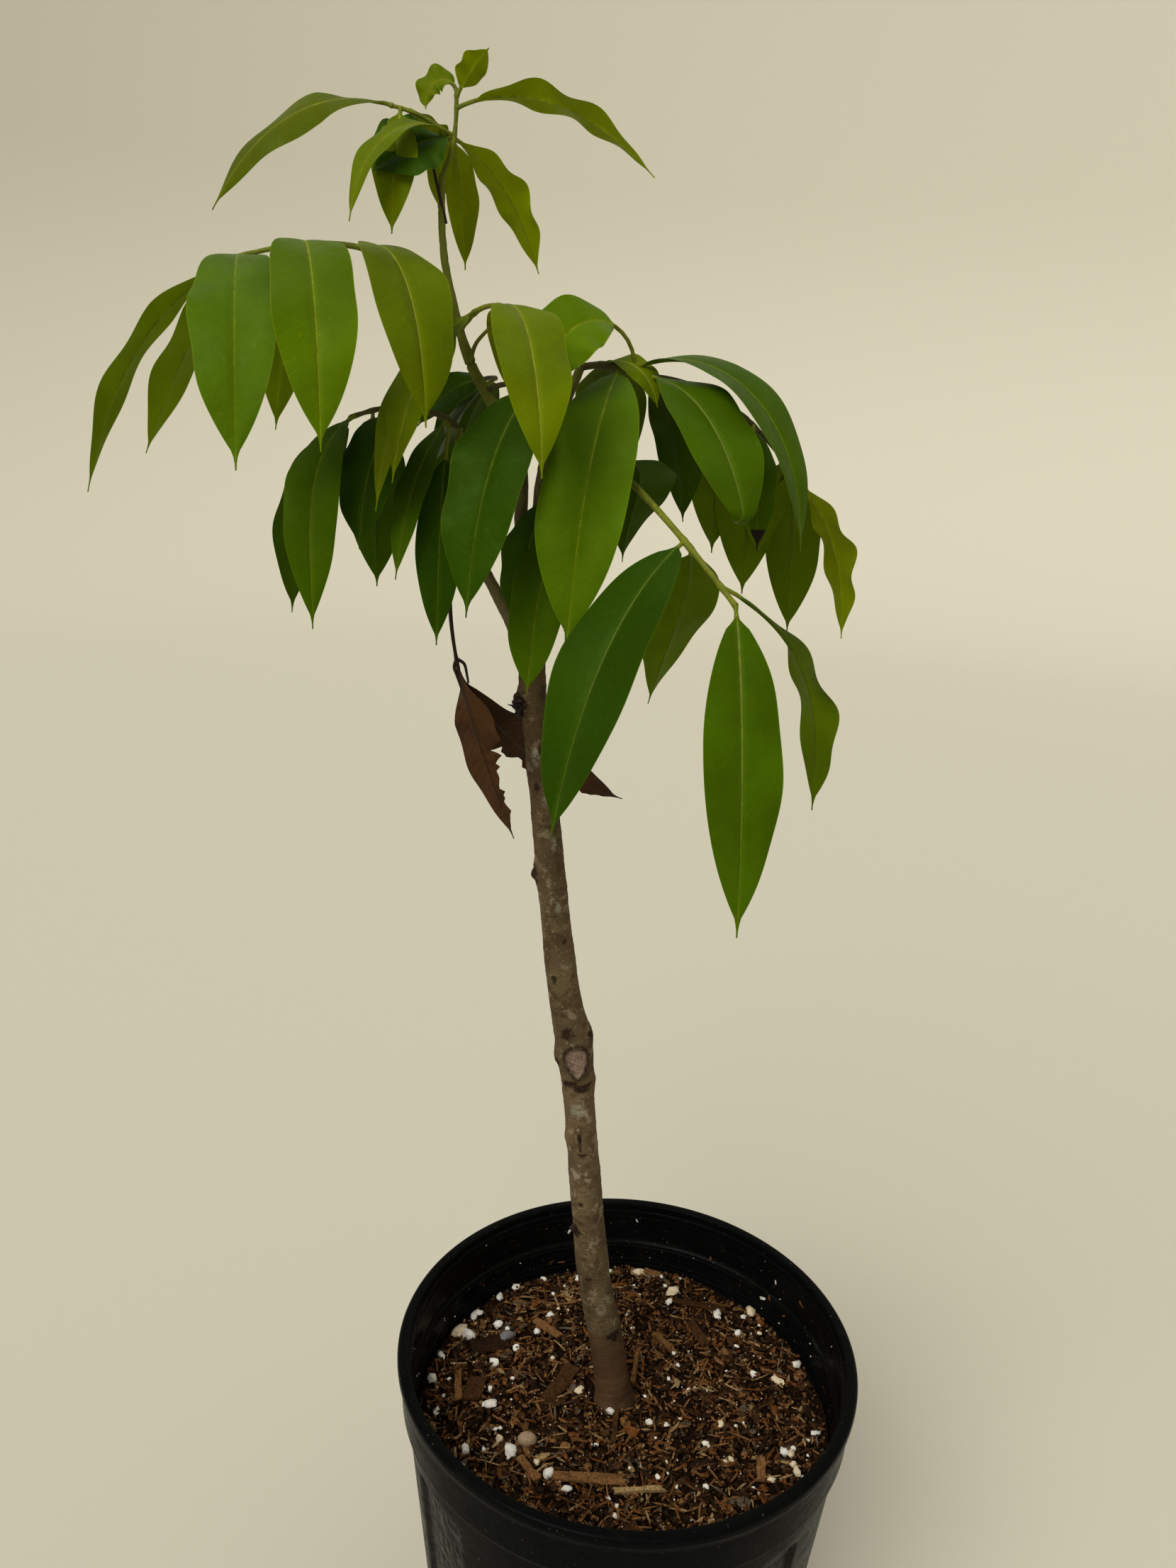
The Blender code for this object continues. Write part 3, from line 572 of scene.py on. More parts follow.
class Finish:
    """One material, whose nodes are added one by one; a colour may be a share of its first one."""

    def __init__(self, name, colour, roughness, specular=0.5):
        self.material = bpy.data.materials.new(name)
        self.material.use_nodes = True
        self.nodes = self.material.node_tree.nodes
        self.links = self.material.node_tree.links
        self.shader = self.nodes["Principled BSDF"].inputs
        self.colour = colour
        self.set(self.shader["Base Color"], colour)
        self.set(self.shader["Roughness"], roughness)
        self.set(self.shader["Specular IOR Level"], specular)
        self.where = self.nodes.new("ShaderNodeTexCoord").outputs["Object"]

    def set(self, socket, value):
        if isinstance(value, bpy.types.NodeSocket):
            self.links.new(value, socket)
        else:
            socket.default_value = (*value, 1) if socket.type == "RGBA" else value

    def node(self, kind, inputs, output=0, **settings):
        """One output of a new node, whose inputs are given by their names or places."""
        node = self.nodes.new("ShaderNode" + kind)
        for name, value in settings.items():
            setattr(node, name, value)
        for place, value in inputs.items():
            self.set(node.inputs[place], value)
        return node.outputs[output]

    def math(self, operation, a, b=0.0):
        return self.node("Math", {0: a, 1: b}, operation=operation)

    def times(self, a, b):
        return self.math("MULTIPLY", a, b)

    def plus(self, a, b):
        return self.math("ADD", a, b)

    def stretch(self, x, y, z):
        return self.node("Mapping", {"Vector": self.where, "Scale": (x, y, z)})

    def noise(self, scale, detail=3.0, rough=0.55, where=None, distort=0.0):
        values = {"Scale": scale, "Detail": detail, "Roughness": rough, "Distortion": distort}
        return self.node("TexNoise", {"Vector": where or self.where, **values}, "Fac")

    def band(self, value, low, high, to_low=0.0, to_high=1.0):
        """A smooth change from one value to another between two limits."""
        inputs = dict(enumerate((value, low, high, to_low, to_high)))
        return self.node("MapRange", inputs, interpolation_type="SMOOTHSTEP")

    def patches(self, low, high, scale, detail=3.0, rough=0.55):
        """Where a noise is above two limits."""
        return self.band(self.noise(scale, detail, rough), low, high)

    def mix(self, share, a, b, blend="MIX"):
        a, b = [scaled(self.colour, c) if isinstance(c, float) else c for c in (a, b)]
        return self.node("Mix", {0: share, 6: a, 7: b}, 2, data_type="RGBA", blend_type=blend)

    def start(self, share, a, b):
        self.tone = self.mix(share, a, b)

    def over(self, colour, mask, share=None, blend="MIX"):
        """Lays a share of a colour over the tone where a mask lets it."""
        share = mask if share is None else self.times(mask, share)
        self.tone = self.mix(share, self.tone, colour, blend)

    def lines(self, run, gap, width):
        """Soft lines across a run of values, a gap apart."""
        return self.band(self.math("PINGPONG", run, gap), 0.0, width, 1.0, 0.0)

    def slant(self, across, along_blade, share, wander):
        """A run of values that slants outward along a blade and wanders."""
        back = self.times(self.math("ABSOLUTE", across), share)
        return self.plus(self.math("SUBTRACT", along_blade, back), wander)

    def place(self):
        """The four values that the mesh holds at each point."""
        held = self.nodes.new("ShaderNodeAttribute")
        held.attribute_name = "place"
        split = self.nodes.new("ShaderNodeSeparateColor")
        self.set(split.inputs[0], held.outputs["Color"])
        return *split.outputs, held.outputs["Alpha"]

    def finish(self, relief, depth):
        """The material, with its tone and a relief of a depth in millimetres."""
        self.set(self.shader["Base Color"], self.tone)
        bump = self.node("Bump", {"Strength": 1.0, "Distance": depth * MM, "Height": relief})
        self.set(self.shader["Normal"], bump)
        return self.material


def scaled(colour, share):
    return tuple(c * share for c in colour)


def blade_finish(name, colour, pale, roughness, specular=0.2, veins=0.028):
    """A leaflet's face: faint side veins, a paler strip by the midrib, a thin pale margin and mottling."""
    f = Finish(name, colour, roughness, specular)
    f.set(f.shader["Specular Tint"], BLADE_SHINE)
    across, along_blade, edge, chance = f.place()
    fine = f.noise(420, 2)
    f.start(f.patches(0.32, 0.7, 24, 4), 0.82, 1.18)
    f.over(1.3, f.band(fine, 0.45, 0.75), 0.12)
    f.over(0.72, chance, 0.3)
    f.over(pale, f.patches(0.66, 0.74, 300, 3, 0.6), 0.22)
    f.over(pale, f.band(f.math("ABSOLUTE", across), 0.3, 2.6, 1.0, 0.0), 0.12)
    run = f.slant(across, along_blade, 0.78, f.times(f.noise(75), 7))
    main = f.lines(run, VEIN_GAP, 0.55)
    small = f.lines(run, 0.9, 0.45)
    f.over(pale, f.plus(f.times(main, veins), f.times(small, veins * 0.25)))
    f.over(pale, f.band(edge, 0.965, 1.0), 0.4)
    gloss = f.band(f.noise(90), 0.3, 0.7, roughness - 0.05, roughness + 0.1)
    f.set(f.shader["Roughness"], gloss)
    quilt = f.plus(f.times(f.noise(130, 3, 0.6), 1.3), f.times(fine, 0.15))
    return f.finish(f.math("SUBTRACT", quilt, f.times(main, 0.15)), 0.32)


def plain_finish(name, colour, roughness, specular=0.4):
    """A plain finish with fine mottling and a faint relief."""
    f = Finish(name, colour, roughness, specular)
    f.start(f.patches(0.3, 0.7, 300, 4, 0.6), 0.75, 1.25)
    return f.finish(f.noise(900), 0.1)


def dead_finish(name, colour):
    """A dry leaflet: dull brown with darker blotches and a net of darker veins."""
    f = Finish(name, colour, 0.65, 0.15)
    across, along_blade, edge = f.place()[:3]
    blotch = f.noise(26, 5, 0.6, distort=0.5)
    f.start(f.band(blotch, 0.36, 0.64), 1.15, 0.45)
    f.over(0.3, f.patches(0.6, 0.7, 190, 4, 0.7), 0.5)
    run = f.slant(across, along_blade, 0.9, f.times(f.noise(80, 2), 8))
    veins = f.lines(run, VEIN_GAP, 0.5)
    f.over(0.45, veins, 0.15)
    f.over(0.25, f.band(edge, 0.92, 1.0), 0.5)
    return f.finish(f.plus(f.noise(260, 4), veins), 0.25)


def bark_finish():
    """Grey-brown bark: pale patches, fine level wrinkles, dark scars and a stain above the mix."""
    f = Finish("bark", BARK, 0.85, 0.15)
    scar, dark, pale, stain = f.place()
    patch = f.noise(38, 5, 0.62)
    f.start(f.band(patch, 0.34, 0.66), 0.68, 1.2)
    f.over(BARK_BROWN, f.patches(0.5, 0.62, 95, 5, 0.7), 0.65)
    f.over(BARK_PALE, f.patches(0.54, 0.65, 125, 5, 0.72), 0.68)
    f.over(BARK_PALE, f.patches(0.62, 0.68, 620, 3, 0.6), 0.55)
    wrinkle = f.noise(1.0, 4, 0.6, f.stretch(170, 170, 1500))
    f.over(0.45, f.band(wrinkle, 0.5, 0.68), 0.45)
    f.over(0.3, f.patches(0.64, 0.72, 700, 2), 0.6)
    # Painted shade darkens the bark towards the top of the trunk, and painted light makes a band lower down
    # paler
    height = f.node("SeparateXYZ", {0: f.where}, "Z")
    f.over(BARK_PAINTED_SHADE, f.band(height, *BARK_SHADE_HEIGHTS), blend="MULTIPLY")
    middle = f.times(f.band(height, *BARK_LIGHT_HEIGHTS), f.band(height, *BARK_LIGHT_HEIGHTS_END, 1.0, 0.0))
    f.over(BARK_PAINTED_LIGHT, middle, blend="MULTIPLY")
    f.over(f.mix(f.band(patch, 0.4, 0.6), SOIL_STAIN, scaled(SOIL_STAIN, 1.5)), stain)
    grain = f.noise(260, 5, 0.7)
    f.over(LICHEN, pale, f.band(grain, 0.36, 0.6))
    f.over(BARK_DARK, dark, f.band(grain, 0.3, 0.5))
    f.over(f.mix(f.band(grain, 0.42, 0.62), SCAR_WOOD, scaled(SCAR_WOOD, 0.4)), scar)
    return f.finish(f.plus(f.times(wrinkle, 1.1), f.noise(900)), 0.4)


def twig_bark_finish(name, colour, greens=False):
    """A young bough's skin, with pale pores; where it greens, the first value held gives how much."""
    f = Finish(name, colour, 0.6, 0.2)
    patch = f.patches(0.35, 0.65, 70, 4, 0.6)
    f.start(patch, 0.7, 1.3)
    if greens:
        f.over(f.mix(patch, OLIVE, scaled(OLIVE, 1.3)), f.place()[0])
    pores = f.noise(1.0, 2, where=f.stretch(900, 900, 350))
    f.over(2.2, f.band(pores, 0.62, 0.7), 0.6)
    return f.finish(f.noise(1.0, where=f.stretch(500, 500, 130)), 0.25)


def pot_finish(name, specular, textured=False, dusty=0.0):
    """Black moulded plastic, with handling scuffs, a little dust and, on the panels, a hammered grain."""
    f = Finish(name, PLASTIC, 0.3, specular)
    scuff = f.noise(1.0, 5, 0.7, f.stretch(30, 30, 260), 0.4)
    fine = f.noise(380, 4, 0.7)
    dust = f.band(f.noise(24, 4, 0.6), 0.45, 0.75, 0.0, 0.05 + dusty)
    f.start(dust, PLASTIC, PLASTIC_DUST)
    f.over(PLASTIC_SCUFF, f.band(scuff, 0.6, 0.72), 0.06 + dusty)
    f.over(PLASTIC_SPECK, f.patches(0.7, 0.76, 520, 2), 0.4 + dusty)
    worn = f.plus(f.times(scuff, 0.6), f.times(fine, 0.4))
    f.set(f.shader["Roughness"], f.band(worn, 0.4, 0.66, 0.24, 0.5))
    relief = f.plus(f.noise(60, 2), f.times(fine, 0.06))
    if textured:
        cells = {"Vector": f.stretch(260, 260, 150), "Scale": 1.0}
        hammer = f.node("TexVoronoi", cells, "Distance", feature="SMOOTH_F1")
        relief = f.plus(relief, f.times(hammer, 2.2))
    return f.finish(relief, 0.5 if textured else 0.3)


def mix_finish():
    """The ground of the potting mix between its chips: dark damp peat."""
    f = Finish("peat", PEAT, 0.95, 0.05)
    lumps = f.noise(320, 6, 0.75)
    f.start(f.band(lumps, 0.35, 0.65), 0.35, 2.0)
    return f.finish(lumps, 2.2)


def chip_finish(name, colour):
    """A shred of bark or wood, with grain and darker damp patches."""
    f = Finish(name, colour, 0.85, 0.08)
    grain = f.noise(1.0, 4, 0.7, f.stretch(900, 500, 900))
    f.start(f.band(grain, 0.32, 0.68), 0.5, 1.35)
    f.over(0.45, f.patches(0.5, 0.75, 240, 2))
    return f.finish(grain, 0.35)


def grain_finish(name, colour, pores):
    """A foamed white grain or a stone: pitted, with brown dust in the pits."""
    f = Finish(name, colour, 0.9, 0.3)
    pits = f.noise(1100, 4, 0.7)
    f.start(f.times(f.patches(0.5, 0.72, 300, 3, 0.6), pores), colour, GRAIN_DUST)
    f.over(scaled(GRAIN_DUST, 0.6), f.band(pits, 0.56, 0.66), pores)
    return f.finish(pits, 0.5)


def make_finishes():
    found = {"bark": bark_finish(), "plastic": pot_finish("plastic", 0.025), "peat": mix_finish()}
    found["plastic_panel"] = pot_finish("plastic_panel", 0.04, textured=True)
    found["plastic_inside"] = pot_finish("plastic_inside", 0.06, dusty=0.03)
    for name, (colour, pale, roughness, specular, redder, greener) in TINTS.items():
        under = (colour[0] * redder, colour[1] * greener, colour[2] * 2)
        found[name] = blade_finish(name, colour, pale, roughness, specular)
        found[name + "_rib"] = plain_finish(name + "_rib", scaled(pale, 0.8), 0.5, 0.2)
        found[name + "_under"] = blade_finish(name + "_under", under, scaled(under, 1.35), 0.62, 0.08, 0.1)
        found[name + "_rib_under"] = plain_finish(name + "_rib_under", scaled(under, 0.85), 0.55, 0.15)
    found["dead"] = dead_finish("dead", DEAD)
    found["dead_under"] = dead_finish("dead_under", scaled(DEAD, 0.7))
    for name in ("dead_rib", "dead_rib_under"):
        found[name] = plain_finish(name, scaled(DEAD, 0.3), 0.6)
    for name, colour in STALKS.items():
        found[name] = twig_bark_finish(name, colour, greens=name == "bough_bark")
    for name, colour in CHIPS.items():
        found[name] = chip_finish(name, colour)
    for name, (colour, pores) in GRAINS.items():
        found[name] = grain_finish(name, colour, pores)
    return found


# Pot


def pot_body_radius(z):
    """The outside radius of the pot's tapering body at a height; above it, that of its upper end."""
    share = min(z, BAND_FOOT) / BAND_FOOT
    return POT_FOOT_RADIUS + (POT_SHOULDER_RADIUS - POT_FOOT_RADIUS) * share


def panel_share(angle):
    """How far a place round the pot is sunk, from 0 on a rib to 1 on a panel."""
    rib = cos(pi * PANEL_SHARE)
    return min(max((cos(PANELS * (angle - PANEL_TURN)) - rib) * PANEL_SIDES, 0.0), 1.0)


def panel_end(z):
    """How far the panels are sunk at a height, from 0 past their ends to 1."""
    low = smooth_step(PANEL_BOTTOM - PANEL_SLOPE, PANEL_BOTTOM, z)
    return low * (1 - smooth_step(PANEL_TOP, PANEL_TOP + PANEL_SLOPE, z))


def arc(centre_r, centre_z, radius, start, end, steps):
    """Points of a rounded corner of the pot's profile, as radius and height."""
    turns = [radians(start + (end - start) * k / steps) for k in range(steps + 1)]
    return [(centre_r + radius * cos(a), centre_z + radius * sin(a)) for a in turns]


def pot_profile():
    """Radius and height from the middle of the underside, up the outside, over the lip and down inside."""
    lip = POT_HEIGHT - POT_LIP
    rim = POT_RIM_RADIUS
    shoulder = POT_SHOULDER_RADIUS
    foot = [(0.0, 0.0), (60 * MM, 0.0), (POT_FOOT_RADIUS - POT_CHAMFER, 0.0)]
    foot += arc(POT_FOOT_RADIUS - 2.4 * MM, 2.8 * MM, 2.8 * MM, -80, -5, 5)
    body = [(pot_body_radius(z * MM), z * MM) for z in range(4, 206, 2)]
    step = arc(shoulder + 1.6 * MM, BAND_FOOT + 1.2 * MM, 1.2 * MM, -80, 0, 5)
    rise = lip - BAND_FOOT - 5.5 * MM
    band = [(shoulder + 2.9 * MM + 1.1 * MM * k / 8, BAND_FOOT + 4 * MM + rise * k / 8) for k in range(9)]
    lip_low = arc(rim - 1.6 * MM, lip + 1.8 * MM, 1.6 * MM, -70, 0, 4)
    lip_top = arc(rim - 2.6 * MM, POT_HEIGHT - 2.6 * MM, 2.6 * MM, 0, 90, 7)
    lip_in = arc(rim - 5.2 * MM, POT_HEIGHT - 1.8 * MM, 1.8 * MM, 90, 180, 6)
    inside = [(rim - POT_RIM_WALL, POT_HEIGHT - z * MM) for z in (3.4, 4.4, 5.4)]
    z = POT_HEIGHT - 6.2 * MM
    while z > INSIDE_FINE_END:
        blend = smooth_step(BAND_FOOT - 1 * MM, BAND_FOOT + 5 * MM, z)
        wall = (pot_body_radius(z) - POT_WALL) * (1 - blend) + (rim - POT_RIM_WALL - MM) * blend
        ridge = max(exp(-((z - h * MM) / RIDGE_HALF) ** 2) for h in INNER_RIDGES)
        inside.append((wall - RIDGE_OUT * ridge, z))
        z -= INSIDE_STEP
    inside += [(pot_body_radius(POT_FLOOR) - POT_WALL, POT_FLOOR), (0.0, POT_FLOOR)]
    return foot + body + step + band + lip_low + lip_top + lip_in + inside


def build_pot():
    """The pot turned from its profile, with its sunk panels."""
    profile = pot_profile()
    heights = [z for r, z in profile]
    points = [Vector((0, 0, heights[0]))]
    for r, z in profile[1:-1]:
        inner = r < pot_body_radius(z) - 1.5 * MM or z > BAND_FOOT
        sink = 0.0 if inner else panel_end(z) * PANEL_DEPTH
        for angle in angles(POT_SEGMENTS):
            points.append(Vector((*circle(r - sink * panel_share(angle), angle), z)))
    points.append(Vector((0, 0, heights[-1])))
    last = len(points) - 1 - POT_SEGMENTS
    faces, finishes = [], []
    for k in range(POT_SEGMENTS):
        after = (k + 1) % POT_SEGMENTS
        faces += [(0, 1 + after, 1 + k), (len(points) - 1, last + k, last + after)]
        finishes += ["plastic", "plastic_inside"]
        deep = panel_share(2 * pi * (k + 0.5) / POT_SEGMENTS) > 0.95
        for row, (z, above) in enumerate(zip(heights[1:-2], heights[2:-1])):
            low = 1 + row * POT_SEGMENTS
            high = low + POT_SEGMENTS
            faces.append((low + k, low + after, high + after, high + k))
            if above > z + 1e-6:
                panel = deep and PANEL_BOTTOM < z < PANEL_TOP
                finishes.append("plastic_panel" if panel else "plastic")
            else:
                finishes.append("plastic" if z > LIP_INSIDE else "plastic_inside")
    pot = Gather("moulded_pot")
    pot.add(points, outward(points, faces), finishes)
    pot.piece("black_plastic", "pot", smooth=50)


# Potting mix


# How far the mix reaches from the middle
SOIL_RADIUS = pot_body_radius(SOIL_LEVEL) - POT_WALL - SOIL_GAP


def soil_height(x, y):
    """Low mounds in the mix, level round the trunk and at the level of the wall."""
    foot = LIMBS["trunk"][0]
    off = hypot(x - foot.x * MM, y - foot.y * MM)
    near = min(max((off - SOIL_FLAT) / SOIL_FLAT_EDGE, 0.0), 1.0)
    mounds = sin(SOIL_WAVE * x) * cos(SOIL_WAVE * y)
    ripples = sin(SOIL_RIPPLE * (x - y) + 1) / 2
    return SOIL_LEVEL + near * SOIL_SWELL * (mounds + ripples) * 2 / 3


def trunk_distance(x, y):
    """How far a place on the mix is from the trunk's bark."""
    foot = LIMBS["trunk"][1]
    return hypot(x - foot.x * MM, y - foot.y * MM) - foot.thick * MM / 2


def build_soil_bed():
    """The ground of the mix: a lumpy top over a plain filled body."""
    points = []
    for row in range(SOIL_CELLS):
        for angle in angles(SOIL_SIDES):
            x, y = circle(SOIL_RADIUS * (1 - row / SOIL_CELLS), angle)
            rise = noise.fractal(Vector((x, y, 0)) * BED_GRAIN, 0.6, 2.0, 4) * BED_LUMPS
            points.append(Vector((x, y, soil_height(x, y) - BED_SUNK + rise)))
    top = len(points)
    points.append(Vector((0, 0, SOIL_LEVEL - 1 * MM)))
    foot = pot_body_radius(POT_FLOOR) - POT_WALL - SOIL_GAP
    points += [Vector((*circle(foot, angle), POT_FLOOR + 0.3 * MM)) for angle in angles(SOIL_SIDES)]
    faces = ring_faces(SOIL_CELLS, SOIL_SIDES, caps=False)
    low = top + 1
    last = top - SOIL_SIDES
    for k in range(SOIL_SIDES):
        after = (k + 1) % SOIL_SIDES
        faces += [(last + k, last + after, top), (k, low + k, low + after, after)]
    faces.append(tuple(low + k for k in range(SOIL_SIDES)))
    bed = Gather("mix_bed")
    bed.add(points, outward(points, faces), "peat")
    bed.piece("potting_mix", "potting_mix")


def flat_piece(rng, outline, edges, thick, uneven, turns, length=1.0, bend=0.0):
    """A flat piece from its outline, with bevelled edges, an uneven face and, if asked, a bend."""
    points = []
    for share_x, share_y, z in ((*edges[0], -thick / 2), (1.0, 1.0, 0.0), (*edges[1], thick / 2)):
        for x, y in outline:
            lift = z + bend * (2 * x / length) ** 2 * length + rng.uniform(-uneven, uneven) * thick
            points.append(spin(*turns) @ Vector((x * share_x, y * share_y, lift)))
    return points, outward(points, ring_faces(3, len(outline)))


def shred(rng, length, width, thick, turns, bend=0.0):
    """A torn flat shred about the origin."""
    corners = rng.choice((6, 7, 8))
    outline = []
    for k in range(corners):
        a = 2 * pi * (k + rng.uniform(-0.3, 0.3)) / corners
        r = rng.uniform(0.66, 0.94) / max(abs(cos(a)), abs(sin(a))) ** 0.9
        outline.append((r * cos(a) * length / 2, r * sin(a) * width / 2))
    return flat_piece(rng, outline, ((0.86, 0.86), (0.84, 0.84)), thick, 0.15, turns, length, bend)


def splinter(rng, length, width, thick, turns):
    """A long piece of bark with ragged sides and blunt, split ends."""
    sides = (-0.96, -0.62, -0.3, 0.05, 0.36, 0.7, 0.98)
    outline = [(share + rng.uniform(-0.06, 0.06), rng.uniform(0.68, 1.0)) for share in sides]
    outline += [(rng.uniform(0.8, 1.06), rng.uniform(-0.3, 0.4))]
    outline += [(share + rng.uniform(-0.06, 0.06), -rng.uniform(0.68, 1.0)) for share in reversed(sides)]
    outline += [(-rng.uniform(0.8, 1.06), rng.uniform(-0.4, 0.3))]
    outline = [(x * length / 2, y * width / 2) for x, y in outline]
    return flat_piece(rng, outline, ((0.97, 0.84), (0.975, 0.86)), thick, 0.2, turns)


def ball():
    """Points and faces of a round ball of radius one."""
    form = bmesh.new()
    bmesh.ops.create_icosphere(form, subdivisions=2, radius=1)
    points = [v.co.copy() for v in form.verts]
    faces = [tuple(v.index for v in face.verts) for face in form.faces]
    form.free()
    return points, faces


BALL_POINTS, BALL_FACES = ball()


def lump(rng, size, stretch=1.3, rough=0.28):
    """A rough rounded grain about the origin."""
    seed = Vector([rng.uniform(-50, 50) for k in range(3)])
    turns = spin(rng.uniform(0, TURN), 0, rng.uniform(-0.6, 0.6))
    shape = Vector((stretch, 1.0, rng.uniform(0.7, 0.95))) * size / 2
    points = []
    for p in BALL_POINTS:
        swell = 1 + rough * noise.noise(p * 1.3 + seed) * 1.6 + rough * 0.5 * noise.noise(p * 3.1 + seed)
        points.append(turns @ (p * shape) * swell)
    return points, BALL_FACES


def scatter_place(rng, margin):
    """A chance place on the mix, off the trunk and off the wall."""
    reach = SOIL_RADIUS - margin
    while True:
        x = rng.uniform(-reach, reach)
        y = rng.uniform(-reach, reach)
        if hypot(x, y) < reach and trunk_distance(x, y) > margin * 0.5:
            return x, y


def on_mix(x, y, lift):
    return Vector((x, y, soil_height(x, y) + lift))


def strew(gather, rng, size, place, leans, lift, shares, bend=0):
    """Lays one chance shred on the mix: its length, width and thickness, where, how it leans and how high."""
    turns = (rng.uniform(0, TURN), rng.gauss(0, leans[0]), rng.gauss(0, leans[1]))
    shape = shred(rng, *size, turns, rng.uniform(-bend, bend) if bend else 0)
    base = on_mix(*place, rng.uniform(*lift) * MM)
    gather.lay(shape, base, rng.choices(CHIP_KINDS, shares)[0])


def build_shreds():
    """Bark chips, splinters and crumbs, thick enough together to hide the ground of the mix."""
    rng = random.Random(SHRED_SEED)
    chips = Gather("bark_chips")
    for k in range(CHIP_COUNT):
        length = min(rng.lognormvariate(1.42, 0.45), 13) * MM
        width = length * rng.uniform(0.28, 0.75)
        thick = rng.uniform(0.5, 1.3) * MM
        place = scatter_place(rng, length * 0.45)
        strew(chips, rng, (length, width, thick), place, (0.28, 0.3), (-0.8, 1.6), CHIP_SHARES)
    chips.piece("potting_mix")
    slivers = Gather("wood_slivers")
    for k in range(SLIVER_COUNT):
        length = rng.uniform(5, 18) * MM
        width = rng.uniform(0.8, 2.2) * MM
        place = scatter_place(rng, length * 0.5)
        size = (length, width, rng.uniform(0.5, 0.9) * MM)
        strew(slivers, rng, size, place, (0.16, 0.4), (0.2, 2.4), SLIVER_SHARES, 0.05)
    slivers.piece("potting_mix")
    crumbs = Gather("bark_crumbs")
    for k in range(CRUMB_COUNT):
        length = rng.uniform(0.9, 2.4) * MM
        place = scatter_place(rng, length)
        size = (length, length * rng.uniform(0.5, 0.9), length * 0.6)
        strew(crumbs, rng, size, place, (0.5, 0.5), (0.6, 2.2), CRUMB_SHARES)
    crumbs.piece("potting_mix")


def build_grains():
    """White foamed grains, a few cream ones, two stones, and the shreds that stand out."""
    rng = random.Random(GRAIN_SEED)
    grains = Gather("white_grains")
    big = Gather("large_shreds")
    for bit in NAMED_BITS:
        size = GRAIN_SIZE if bit.kind in GRAINS else 1.0
        long, wide = bit.long * size * MM, bit.wide * size * MM
        inside = min((SOIL_RADIUS - 0.55 * long) / hypot(bit.x * MM, bit.y * MM), 1.0)
        x, y = bit.x * inside * MM, bit.y * inside * MM
        turn = radians(bit.heading)
        if bit.kind in GRAINS:
            points, faces = lump(rng, wide, long / wide, 0.1 if bit.kind == PEBBLE else GRAIN_ROUGH)
            grains.lay(([spin(turn) @ p for p in points], faces), on_mix(x, y, wide * 0.30), bit.kind)
        else:
            thick = rng.uniform(1.6, 2.6) * MM
            shape = splinter(rng, long, wide, thick, (turn, rng.gauss(0, 0.05), rng.gauss(0, 0.12)))
            big.lay(shape, on_mix(x, y, 2.6 * MM), bit.kind)
    for k in range(GRAIN_COUNT):
        size = min(rng.lognormvariate(0.75, 0.38), 5) * MM
        x, y = scatter_place(rng, size)
        kind = rng.choices((WHITE, CREAM), (8, 2))[0]
        shape = lump(rng, size, rng.uniform(1.0, 1.5), GRAIN_ROUGH)
        grains.lay(shape, on_mix(x, y, size * 0.3 + 0.8 * MM), kind)
    for k in range(SPECK_COUNT):
        size = rng.uniform(0.5, 1.2) * MM
        x, y = scatter_place(rng, size)
        shape = shred(rng, size, size * 0.8, size * 0.7, (rng.uniform(0, TURN), 0.3, 0.3))
        grains.lay(shape, on_mix(x, y, rng.uniform(1.4, 2.6) * MM), rng.choice((WHITE, CREAM)))
    grains.piece("potting_mix")
    big.piece("potting_mix")


def build_wall_bits():
    """Crumbs of the mix that have stuck to the inside of the wall."""
    rng = random.Random(WALL_SEED)
    bits = Gather("stuck_crumbs")
    for k in range(WALL_COUNT):
        angle = rng.uniform(0, 2 * pi)
        z = (196 + 36 * rng.random() ** 1.4) * MM
        wall = pot_body_radius(z) - POT_WALL + smooth_step(206 * MM, 212 * MM, z) * 2.4 * MM
        large = rng.random() < 0.16
        size = rng.uniform(3, 7) * MM if large else rng.uniform(0.6, 1.7) * MM
        width = size * rng.uniform(0.25, 0.5)
        points, faces = shred(rng, size, width, 0.6 * MM, (rng.uniform(0, TURN), 0, 0))
        base = Vector((*circle(wall - 0.5 * MM, angle), z))
        kind = rng.choice((TAN, BROWN, RUST, WHITE))
        bits.lay(([spin(angle, pi / 2) @ p for p in points], faces), base, kind)
    bits.piece("potting_mix")


# Limbs


def turn_from(degrees, heading):
    """The turn to a heading from one in degrees, the short way round."""
    return (heading - radians(degrees) + pi) % (2 * pi) - pi


def mark_share(mark, z, heading, soft, ragged):
    """How much of a mark there is at a place on the bark, from 0 to 1."""
    turn = turn_from(mark.heading, heading)
    reach = hypot((z - mark.z) / mark.tall, turn * KNOB_ROUND / mark.wide) + ragged
    return 1 - smooth_step(1 - soft, 1 + soft, reach)


def most_of(marks, z, heading, soft, ragged):
    """The most that any of the marks has at a place on the bark."""
    near = [mark for mark in marks if abs(mark.z - z) < 2 * mark.tall]
    return max((mark_share(mark, z, heading, soft, ragged) for mark in near), default=0.0)


def knob_swell(z, heading):
    """How far the knobs stand out at one place on the bark."""
    total = 0.0
    for knob in KNOBS:
        if abs(z - knob.z) <= 3 * knob.spread:
            up = (z - knob.z) / knob.spread
            round_it = turn_from(knob.heading, heading) * KNOB_ROUND / knob.spread
            total += knob.out * exp(-up * up - round_it * round_it)
    return total


